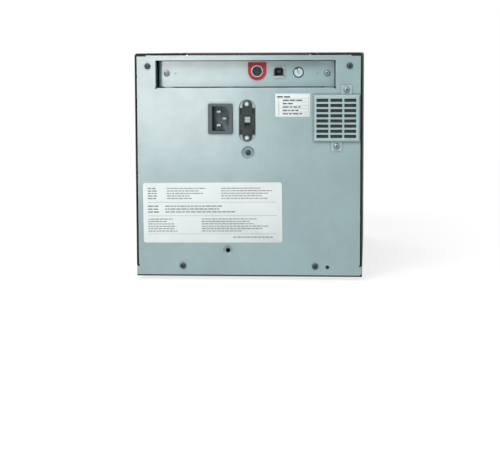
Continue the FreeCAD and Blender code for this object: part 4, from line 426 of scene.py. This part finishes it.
def board(name, level):
    """Circuit board: green solder mask with copper runs below the level, dark components above it."""
    material, tree, shader = new_material(name)
    runs_per_metre = 260.0
    green, copper_under_green = (0.012, 0.11, 0.045), (0.03, 0.20, 0.08)
    package, worn_package = (0.014, 0.014, 0.016), (0.03, 0.03, 0.033)
    place = object_place(tree)
    above = maths(tree, "GREATER_THAN", part_of(tree, place, "Z"), level * MM + 0.1 * MM)
    runs = spread(tree, cell_edges(tree, place, runs_per_metre, "MANHATTAN"), 0.05, 0.09, 1.0, 0.0)
    mask = blend_colours(tree, runs, tint(green), tint(copper_under_green))
    grains = use_group(tree, GRAIN, Size=0.9 * MM)
    packages = blend_colours(tree, grains["Fleck"], tint(package), tint(worn_package))
    edges = use_group(tree, EDGES)
    sheen = spread(tree, above, 0.0, 1.0, 0.28, 0.6)
    normal = relief(tree, runs, 0.03 * MM, edges["Normal"])
    tree.links.new(blend_colours(tree, above, mask, packages), shader.inputs["Base Color"])
    tree.links.new(sheen, shader.inputs["Roughness"])
    tree.links.new(normal, shader.inputs["Normal"])
    return material


def ink(name, colour):
    """Printing ink with a slightly uneven lay."""
    material, tree, shader = new_material(name)
    grains = use_group(tree, GRAIN, Size=0.6 * MM)
    body = blend_colours(tree, grains["Fleck"], tint(colour, 0.8), tint(colour, 1.25))
    tree.links.new(body, shader.inputs["Base Color"])
    shader.inputs["Roughness"].default_value = 0.5
    return material


def lens(name, colour):
    """Frosted light pipe."""
    material, tree, shader = new_material(name)
    marks = use_group(tree, HANDLING, Size=2 * MM)
    body = blend_colours(tree, marks["Smudge"], tint(colour, 0.9), tint(colour, 1.05))
    tree.links.new(body, shader.inputs["Base Color"])
    tree.links.new(spread(tree, marks["Smudge"], 0.0, 1.0, 0.25, 0.4), shader.inputs["Roughness"])
    shader.inputs["Coat Weight"].default_value = 0.4
    return material


# the finish of each material slot in the record
FINISHES = {
    "black_steel": moulded(
        "black powder coat",
        (0.009, 0.0115, 0.013),
        roughness=0.52,
        smudged=0.015,
        grain=0.45,
        depth=0.025,
        worn=1.1,
        dusty=0.05,
        gloss=0.3,
    ),
    # painted shade in the plate's inside corners, dark and reaching 3 mm
    "zinc_steel": zinc("zinc plate", (0.222, 0.335, 0.35), corner=3.0, shade_depth=0.95),
    "supply_case": metal(
        "supply case", (0.50, 0.56, 0.58), roughness=0.42, streak=(9, 700, 9), full=0.8
    ),
    "black_moulding": moulded(
        "etched black moulding",
        (0.024, 0.025, 0.028),
        roughness=0.56,
        smudged=0.015,
        grain=0.7,
        depth=0.05,
    ),
    "black_plastic": moulded(
        "black nylon", (0.016, 0.025, 0.027), roughness=0.40, grain=0.5, depth=0.01, gloss=0.25
    ),
    "filter_foam": foam("filter foam", (0.014, 0.017, 0.018)),
    "feet_rubber": moulded("foot rubber", (0.020, 0.020, 0.021), roughness=0.75, grain=0.9, depth=0.04),
    "bright_steel": metal("bright plating", (0.74, 0.76, 0.78), roughness=0.20, cloud=6),
    "nickel": metal("nickel plate", (0.36, 0.45, 0.46), roughness=0.44, cloud=8, full=0.7),
    "red_plastic": moulded(
        "red moulding", (0.44, 0.030, 0.045), roughness=0.38, grain=0.5, depth=0.01, worn=1.2, gloss=0.15
    ),
    "blue_plastic": moulded(
        "blue moulding", (0.022, 0.10, 0.29), roughness=0.38, grain=0.5, depth=0.01, gloss=0.3
    ),
    "white_plastic": moulded(
        "white moulding", (0.62, 0.66, 0.65), roughness=0.42, grain=0.6, depth=0.01, worn=1.05, gloss=0.3
    ),
    "grey_plastic": moulded(
        "grey moulding", (0.30, 0.315, 0.325), roughness=0.45, grain=0.5, depth=0.015, worn=1.2
    ),
    "aluminium": metal("milled aluminium", (0.66, 0.67, 0.68), streak=(12, 900, 900)),
    "motor_steel": moulded(
        "motor enamel", (0.030, 0.031, 0.034), roughness=0.35, grain=0.8, depth=0.01, worn=1.8
    ),
    "film_black": moulded(
        "ribbon film", (0.010, 0.010, 0.013), roughness=0.22, grain=4.0, depth=0.01, coat=0.3
    ),
    "clear_lens": lens("frosted lens", (0.60, 0.64, 0.58)),
    "brass": metal("brass", (0.66, 0.49, 0.22), roughness=0.28, cloud=5),
    "roller_rubber": moulded("ground rubber", (0.055, 0.055, 0.057), roughness=0.68),
}

# the nodes that differ from their slot's finish; a board's components stand above its level, and the
# button board shows none
OWN_FINISHES = {
    "interface_board": board("interface board mask", level=209.4),
    "logic_board": board("logic board mask", level=14.6),
    "button_board": board("button board mask", level=400),
    # socket walls coloured as painted shade and its floor as painted light; the flange keeps its own dull
    # black
    "power_inlet": deep_socket(
        moulded(
            "dull black moulding",
            (0.090, 0.122, 0.128),
            roughness=0.48,
            grain=0.5,
            depth=0.01,
            worn=1.05,
            gloss=0.25,
        ),
        mouth=197.5,
        floor=182,
        shaded_wall=(0.012, 0.016, 0.017),
        pale=(0.19, 0.265, 0.28),
    ),
    "inlet_pins": metal("blade plating", (0.30, 0.37, 0.375), roughness=0.45, cloud=4, full=0.5),
    # painted shade in the selector's notches and inside corners
    "voltage_switch_body": shut_corners(
        moulded(
            "selector moulding", (0.028, 0.043, 0.045), roughness=0.40, grain=0.5, depth=0.01, gloss=0.2
        ),
        reach=3,
        depth=1.3,
    ),
    "voltage_switch_knob": moulded(
        "pale knob", (0.40, 0.48, 0.51), roughness=0.45, grain=0.5, depth=0.01, worn=1.1
    ),
    "voltage_switch_rivets": metal("eyelet", (0.37, 0.45, 0.46), cloud=4, full=0.4),
    # painted shade where the guard's tabs and slots meet other surfaces
    "fan_guard": zinc("guard plating", (0.28, 0.405, 0.415), shade_depth=0.85),
    # painted shade reaching 10 mm from the recess walls across the connector plate
    "io_plate": zinc("connector plate", (0.216, 0.345, 0.362), full=0.2, corner=10),
    # painted shade in the rotor's slot and notch
    "mode_switch_rotor": shut_corners(
        moulded(
            "pale rotor", (0.56, 0.66, 0.66), roughness=0.42, grain=0.6, depth=0.01, worn=1.05, gloss=0.3
        ),
        reach=2.5,
        depth=1.0,
    ),
}


def dress_cad_nodes():
    """Gives each carried node its own finish, or else that of its slot in the record."""
    for row in frame["record"]["subparts"]:
        thing = NODES[row["node"]]
        material = OWN_FINISHES.get(row["node"]) or FINISHES[row["material_slot"]]
        thing.data.materials.clear()
        thing.data.materials.append(material)


# ---------------------------------------------------------------- meshes


def mesh_object(name, mesh):
    """Turns a bmesh into an object of the scene."""
    data = bpy.data.meshes.new(name)
    bmesh.ops.recalc_face_normals(mesh, faces=mesh.faces)
    mesh.to_mesh(data)
    mesh.free()
    thing = bpy.data.objects.new(name, data)
    bpy.context.scene.collection.objects.link(thing)
    return thing


def finish_piece(name, mesh, material, body, replaces=(), smooth=35):
    """Turns a bmesh into a piece that rides on a body; smooth is the sharpest angle shaded smoothly."""
    piece = mesh_object(name, mesh)
    data = piece.data
    data.polygons.foreach_set("use_smooth", [True] * len(data.polygons))
    data.set_sharp_from_angle(angle=math.radians(smooth))
    data.materials.append(material)
    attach(piece, body)
    if replaces:
        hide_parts(*replaces)
    return piece


def final_mesh(thing):
    """The mesh that an object has after its modifiers; the object itself goes."""
    shaped = thing.evaluated_get(bpy.context.evaluated_depsgraph_get())
    mesh = bpy.data.meshes.new_from_object(shaped)
    bpy.data.objects.remove(thing)
    return mesh


def add_copy(mesh, shape, matrix):
    """Adds a copy of a finished mesh, moved by the matrix."""
    start = len(mesh.verts)
    mesh.from_mesh(shape)
    mesh.verts.ensure_lookup_table()
    bmesh.ops.transform(mesh, matrix=matrix, verts=mesh.verts[start:])


def add_slab(mesh, left, right, low, high, back, front):
    """A closed box between six millimetre values in the mesh's own frame."""
    middle = Vector((left + right, low + high, back + front)) / 2 * MM
    size = Vector((right - left, high - low, front - back)) * MM
    made = bmesh.ops.create_cube(mesh, size=1.0)
    bmesh.ops.scale(mesh, vec=size, verts=made["verts"])
    bmesh.ops.translate(mesh, vec=middle, verts=made["verts"])
    return made["verts"]


def rounded_outline(half_wide, half_high, radius, steps=6):
    """Corner points of a rectangle with round corners, counter-clockwise, in millimetres."""
    points = []
    for turn, (side, rise) in enumerate(((1, 1), (-1, 1), (-1, -1), (1, -1))):
        centre = (side * (half_wide - radius), rise * (half_high - radius))
        for step in range(steps + 1):
            angle = math.radians(90 * (turn + step / steps))
            points.append((centre[0] + radius * math.cos(angle), centre[1] + radius * math.sin(angle)))
    return points


def add_prism(mesh, outline, back, front, bevel):
    """A closed prism over an outline, its front edge drawn in by the bevel."""
    rings = []
    for level, inset in ((back, 0.0), (front - bevel, 0.0), (front, bevel)):
        ring = []
        for x, y in outline:
            length = math.hypot(x, y)
            corner = Vector((x - inset * x / length, y - inset * y / length, level)) * MM
            ring.append(mesh.verts.new(corner))
        rings.append(ring)
    count = len(outline)
    for lower, upper in zip(rings, rings[1:]):
        for i in range(count):
            j = (i + 1) % count
            mesh.faces.new((lower[i], lower[j], upper[j], upper[i]))
    mesh.faces.new(list(reversed(rings[0])))
    mesh.faces.new(rings[-1])


def lathe(mesh, profile, steps=32):
    """A closed solid turned round Z from (radius, height) pairs that begin and end on the axis."""
    rings = []
    for radius, height in profile:
        if radius == 0:
            rings.append([mesh.verts.new((0, 0, height * MM))])
            continue
        ring = []
        for step in range(steps):
            angle = 2 * math.pi * step / steps
            point = (radius * math.cos(angle) * MM, radius * math.sin(angle) * MM, height * MM)
            ring.append(mesh.verts.new(point))
        rings.append(ring)
    for lower, upper in zip(rings, rings[1:]):
        for i in range(steps):
            j = (i + 1) % steps
            if len(lower) == 1:
                mesh.faces.new((lower[0], upper[j], upper[i]))
            elif len(upper) == 1:
                mesh.faces.new((lower[i], lower[j], upper[0]))
            else:
                mesh.faces.new((lower[i], lower[j], upper[j], upper[i]))


def rear_place(x, z, y, tilt=0.0):
    """Stands a flat drawing on the connector side, its right toward -X, turned by tilt degrees."""
    turn = Matrix.Rotation(math.radians(tilt), 4, "Z")
    return Matrix.Translation(Vector((x, y, z)) * MM) @ SEEN_FROM_REAR.to_4x4() @ turn


# ---------------------------------------------------------------- screws and pins


def screw_mesh(head, shank, length, crown):
    """Pan-head screw along Z with a tapered cross recess, seated at Z 0. Head and shank are radii."""
    tip = 0.6
    solid = bmesh.new()
    profile = [
        (0, -length),
        (shank * 0.8, -length),
        (shank, -length + tip),
        (shank, 0),
        (head, 0),
        (head, crown * 0.42),
        (head * 0.93, crown * 0.66),
        (head * 0.76, crown * 0.86),
        (head * 0.5, crown * 0.97),
        (0, crown),
    ]
    lathe(solid, profile)
    body = mesh_object("screw_blank", solid)
    reach, half_wide, deep = head * 0.56, head * 0.13, crown * 0.75
    floor_share = 0.45
    clear = 0.5
    cross = bmesh.new()
    for turn in (0, 90):
        corners = add_slab(cross, -reach, reach, -half_wide, half_wide, crown - deep, crown + clear)
        for corner in corners:
            if corner.co.z < (crown - deep / 2) * MM:
                corner.co.x *= floor_share
        quarter = Matrix.Rotation(math.radians(turn), 3, "Z")
        bmesh.ops.rotate(cross, cent=(0, 0, 0), matrix=quarter, verts=corners)
    tool = mesh_object("screw_recess", cross)
    cut = body.modifiers.new("recess", "BOOLEAN")
    cut.operation = "DIFFERENCE"
    cut.object = tool
    cut.solver = "EXACT"
    cut.use_self = True
    shape = final_mesh(body)
    bpy.data.objects.remove(tool)
    return shape


def screw_set(name, node, material, places, turns):
    """Detailed screws in the places of one CAD node, each turned by its own angle."""
    shape = screw_mesh(head=3.15, shank=1.5, length=6, crown=2.0)
    mesh = bmesh.new()
    for place, turn in zip(places, turns):
        add_copy(mesh, shape, rear_place(*place, turn))
    finish_piece(name, mesh, material, "housing", [node])


def panel_screws():
    """Black screws: an upper and a lower pair in the rear panel, and one in its larger dimple."""
    # painted shade round each head and in its recess; the fourfold lighter edges are partly worn plating
    # and partly a painted highlight on the head
    black = metal(
        "black screw plating",
        (0.042, 0.066, 0.069),
        roughness=0.25,
        cloud=3,
        worn=4,
        full=0.3,
        corner=0.9,
        shade_depth=1.0,
        gloss=0.3,
    )
    upper, lower = (104.1, 221.8), (68.9, 14.8)
    places = [(side * x, z, PANEL_FACE) for x, z in (upper, lower) for side in (1, -1)]
    places.append((0.5, 132.9, DIMPLE_FLOOR))
    screw_set("panel_screw_heads", "panel_screws", black, places, (12, 50, 71, 30, 8))


def bright_screws():
    """Bright screws: two in the connector plate and one in each tab of the fan guard."""
    # painted shade round each head and in its cross recess
    plating = metal(
        "zinc screw plating",
        (0.22, 0.29, 0.30),
        roughness=0.22,
        cloud=3,
        full=0.45,
        corner=1.6,
        shade_depth=1.0,
    )
    places = [(x, PLATE_ROW, PLATE_FACE) for x in (-80.8, 85.5)]
    places += [(-101, 197.4, GUARD_FACE), (-90.8, 139.5, GUARD_FACE)]
    screw_set("bright_screw_heads", "bright_screws", plating, places, (20, 64, 41, 5))


def locating_pips():
    """Ends of the shelf's locating pins, a hair proud of their holes in the connector plate."""
    root, radius = -1.6, 0.93
    shoulder, rim, crown = 0.05, 0.7, 0.22
    top = 0.3
    profile = [(0, root), (radius, root), (radius, shoulder), (rim, crown), (0, top)]
    pips = bmesh.new()
    for x in (-70.7, 76.4):
        start = len(pips.verts)
        lathe(pips, profile, steps=20)
        pips.verts.ensure_lookup_table()
        bmesh.ops.transform(pips, matrix=rear_place(x, PLATE_ROW, PLATE_FACE), verts=pips.verts[start:])
    finish_piece("locating_pips", pips, FINISHES["zinc_steel"], "housing")


# ---------------------------------------------------------------- labels

STOCK_THICK = 0.15
STOCK_BEVEL = 0.05
# the printing reaches from just inside the stock to just above it
PRINT_BACK = 0.13
PRINT_FRONT = 0.165
FIGURE_MIDDLE = 0.147
FIGURE_HALF_THICK = 0.018


class Label:
    """A stuck-on label drawn in its own frame: u to the right as read, v up, from its middle."""

    def __init__(self, name, x, z, wide, high, corner, tilt, seed):
        self.name = name
        self.half = (wide / 2, high / 2)
        self.place = rear_place(x, z, PANEL_FACE, tilt)
        self.stock = bmesh.new()
        add_prism(self.stock, rounded_outline(*self.half, corner), 0, STOCK_THICK, STOCK_BEVEL)
        self.print = bmesh.new()
        self.draw = random.Random(seed).uniform

    def bar(self, left, right, low, high):
        """A printed rectangle."""
        add_slab(self.print, left, right, low, high, PRINT_BACK, PRINT_FRONT)

    def rule(self, left, right, level, thick=0.25):
        """A printed line across."""
        self.bar(left, right, level - thick / 2, level + thick / 2)

    def words(self, left, right, level, high, fill=1.0):
        """A line of bars as long as words, up to a share of the room."""
        shortest, longest, gap = 1.6, 5.2, 0.75
        end = left + (right - left) * fill
        start = left
        while start < end - high:
            stop = min(end, start + self.draw(shortest, longest) * high)
            self.bar(start, stop, level - high / 2, level + high / 2)
            start = stop + gap * high

    def numeral(self, number, left, level, high):
        """A plain figure."""
        size_of_height = 1.4
        curve = bpy.data.curves.new("figure", "FONT")
        curve.body = str(number)
        curve.size = high * size_of_height * MM
        curve.extrude = FIGURE_HALF_THICK * MM
        figure = bpy.data.objects.new("figure", curve)
        bpy.context.scene.collection.objects.link(figure)
        shift = Matrix.Translation(Vector((left, level - high / 2, FIGURE_MIDDLE)) * MM)
        add_copy(self.print, final_mesh(figure), shift)

    def stick(self, stock, print_ink):
        """Puts the label in its place, its stock and its printing as two pieces."""
        for mesh in (self.stock, self.print):
            bmesh.ops.transform(mesh, matrix=self.place, verts=mesh.verts)
        finish_piece(self.name, self.stock, stock, "housing", smooth=60)
        finish_piece(self.name + "_print", self.print, print_ink, "housing")


def rating_label():
    """Large plain label: a ruled form with lines of word-long bars and no names, marks or figures."""
    margin, tilt = 5, 0.377
    label = Label("rating_label", x=37.65, z=70.4, wide=144.8, high=62.75, corner=2.5, tilt=tilt, seed=11)
    half_u, top = label.half
    left, right = -half_u + margin, half_u - margin
    for row in range(5):
        level = top - 6 - row * 2.6
        label.words(left, left + 16, level, high=1.1, fill=0.6)
        label.words(left + 20, left + 62, level, high=0.9, fill=label.draw(0.55, 1.0))
        label.words(right - 58, right, level, high=0.9, fill=label.draw(0.7, 1.0))
    label.rule(left, right, top - 20.5)
    for row in range(3):
        level = top - 24.5 - row * 3.0
        label.words(left, left + 14, level, high=1.2, fill=0.8)
        label.words(left + 18, right - 30, level, high=1.1, fill=label.draw(0.6, 0.95))
    label.rule(left, right, top - 34.5)
    for row in range(6):
        level = top - 38 - row * 2.5
        label.words(left, left + 40, level, high=0.9, fill=label.draw(0.4, 0.8))
        label.words(left + 56, right, level, high=0.9, fill=label.draw(0.5, 0.9))
    label.rule(left, right, top - 53.5)
    label.words(right - 46, right, top - 57, high=0.9, fill=0.9)
    return label


def mode_label():
    """Small table beside the rotary switch: a heading bar over five numbered rows."""
    label = Label("mode_label", x=-45.75, z=181.7, wide=35.9, high=23.8, corner=0.8, tilt=0.0, seed=5)
    pitch, thin = 3.45, 0.16
    half_u, top = label.half
    left, right = -half_u + 1, half_u - 1.2
    label.words(-half_u + 2.0, -half_u + 17.0, top - 3.4, high=1.5)
    for row in range(5):
        level = top - 6.9 - row * pitch
        label.rule(left, right, level + pitch / 2, thin)
        label.numeral(row + 1, -half_u + 2.9, level, high=2.1)
        label.words(-half_u + 7.6, half_u - 3, level, high=1.3, fill=label.draw(0.4, 0.9))
    label.bar(right - thin, right, -top + 1.4, top - 1.6)
    return label


def labels():
    """Both labels, on the same stock and each with its own ink."""
    stock = paper("label stock", (0.81, 0.89, 0.895))
    rating_label().stick(stock, ink("grey print", (0.13, 0.14, 0.15)))
    mode_label().stick(stock, ink("black print", (0.03, 0.03, 0.035)))


# ---------------------------------------------------------------- stage, light and camera


def direct_look(tree):
    """1 for rays that see the backdrop straight on or in a reflection, 0 for light falling on things."""
    path = add_node(tree, "ShaderNodeLightPath").outputs
    seen = maths(tree, "MAXIMUM", path["Is Camera Ray"], path["Is Glossy Ray"])
    return maths(tree, "MAXIMUM", seen, path["Is Transmission Ray"])


def grey(level):
    """An even grey."""
    return (level, level, level, 1.0)


def floor():
    """Pale floor that keeps the printer's shadow and fades to white further out."""
    width = 40.0
    fade_starts, fade_ends = 0.5, 1.6
    glow = 0.78
    bpy.ops.mesh.primitive_grid_add(x_subdivisions=2, y_subdivisions=2, size=width)
    plane = bpy.context.object
    plane.name = "studio_floor"
    material, tree, shader = new_material("studio floor")
    shader.inputs["Roughness"].default_value = 0.85
    grains = use_group(tree, GRAIN, Size=30 * MM)
    pale = blend_colours(tree, grains["Fleck"], grey(0.74), grey(0.76))
    seen = direct_look(tree)
    tree.links.new(blend_colours(tree, seen, pale, grey(0.30)), shader.inputs["Base Color"])
    glowing = maths(tree, "MULTIPLY", seen, glow)
    lift = add_node(tree, "ShaderNodeEmission", {"Strength": glowing}).outputs[0]
    near = add_node(tree, "ShaderNodeAddShader", {0: shader.outputs[0], 1: lift}).outputs[0]
    away = add_node(tree, "ShaderNodeVectorMath", {0: object_place(tree)}, operation="LENGTH")
    fade = spread(tree, away.outputs["Value"], fade_starts, fade_ends, smooth=True)
    white = add_node(tree, "ShaderNodeEmission", {"Strength": 1.0}).outputs[0]
    factor = maths(tree, "MULTIPLY", fade, seen)
    mixed = add_node(tree, "ShaderNodeMixShader", {0: factor, 1: near, 2: white}).outputs[0]
    tree.links.new(mixed, tree.nodes["Material Output"].inputs["Surface"])
    plane.data.materials.append(material)


def sky():
    """Even white surroundings, much weaker where they light things than where they are seen."""
    world = bpy.data.worlds.new("studio")
    bpy.context.scene.world = world
    world.use_nodes = True
    tree = world.node_tree
    background = tree.nodes["Background"]
    strength = spread(tree, direct_look(tree), 0.0, 1.0, SKY_LEVEL, 1.0)
    tree.links.new(strength, background.inputs["Strength"])
    background.inputs["Color"].default_value = (*WHITE, 1.0)


def soft_box(name, place, target, wide, high, radiance, colour=WHITE):
    """A soft light aimed at a point, as bright as its radiance on a scale where white paper is 1."""
    light = bpy.data.lights.new(name, "AREA")
    light.shape = "RECTANGLE"
    light.size = wide
    light.size_y = high
    light.energy = radiance * math.pi * wide * high
    light.color = colour
    lamp = bpy.data.objects.new(name, light)
    lamp.visible_camera = False
    lamp.location = place
    lamp.rotation_euler = (Vector(target) - Vector(place)).to_track_quat("-Z", "Y").to_euler()
    bpy.context.scene.collection.objects.link(lamp)


def lights():
    """A large key from above, a small warm box that the panel's film mirrors, and two weaker fills."""
    soft_box("key", (0.75, 2.2, 1.9), (0.0, 0.2, 0.12), wide=1.3, high=1.3, radiance=10.0)
    soft_box("strip", (0.25, 1.4, 0.225), (0.0, 0.2, 0.14), wide=0.3, high=0.36, radiance=7.5, colour=WARM)
    soft_box("fill", (-1.3, 1.5, 1.2), (0.0, 0.1, 0.1), wide=1.2, high=1.2, radiance=0.8)
    soft_box("front", (0.6, -1.8, 1.4), (0.0, -0.1, 0.1), wide=1.2, high=1.2, radiance=2.2)


def camera():
    """Long lens a little above the connector side and slightly to the operator's left."""
    yaw, pitch, roll = 0.0750, 0.1173, -0.0036
    stand = Vector((-123.25, 1819.01, 238.01)) * MM
    ahead = Vector((math.sin(yaw) * math.cos(pitch), -math.cos(yaw) * math.cos(pitch), -math.sin(pitch)))
    right = ahead.cross(Vector((0, 0, 1))).normalized()
    up = right.cross(ahead)
    across = right * math.cos(roll) + up * math.sin(roll)
    upright = up * math.cos(roll) - right * math.sin(roll)
    turned = Matrix((across, upright, -ahead)).transposed().to_4x4()
    optics = bpy.data.cameras.new("view")
    optics.sensor_width = 36.0
    optics.lens = 113.58
    view = bpy.data.objects.new("view", optics)
    view.matrix_world = Matrix.Translation(stand) @ turned
    bpy.context.scene.collection.objects.link(view)
    bpy.context.scene.camera = view


def studio():
    """Everything round the printer."""
    floor()
    sky()
    lights()
    camera()
    bpy.context.scene.view_settings.view_transform = "Standard"


studio()
dress_cad_nodes()
panel_screws()
bright_screws()
locating_pips()
labels()
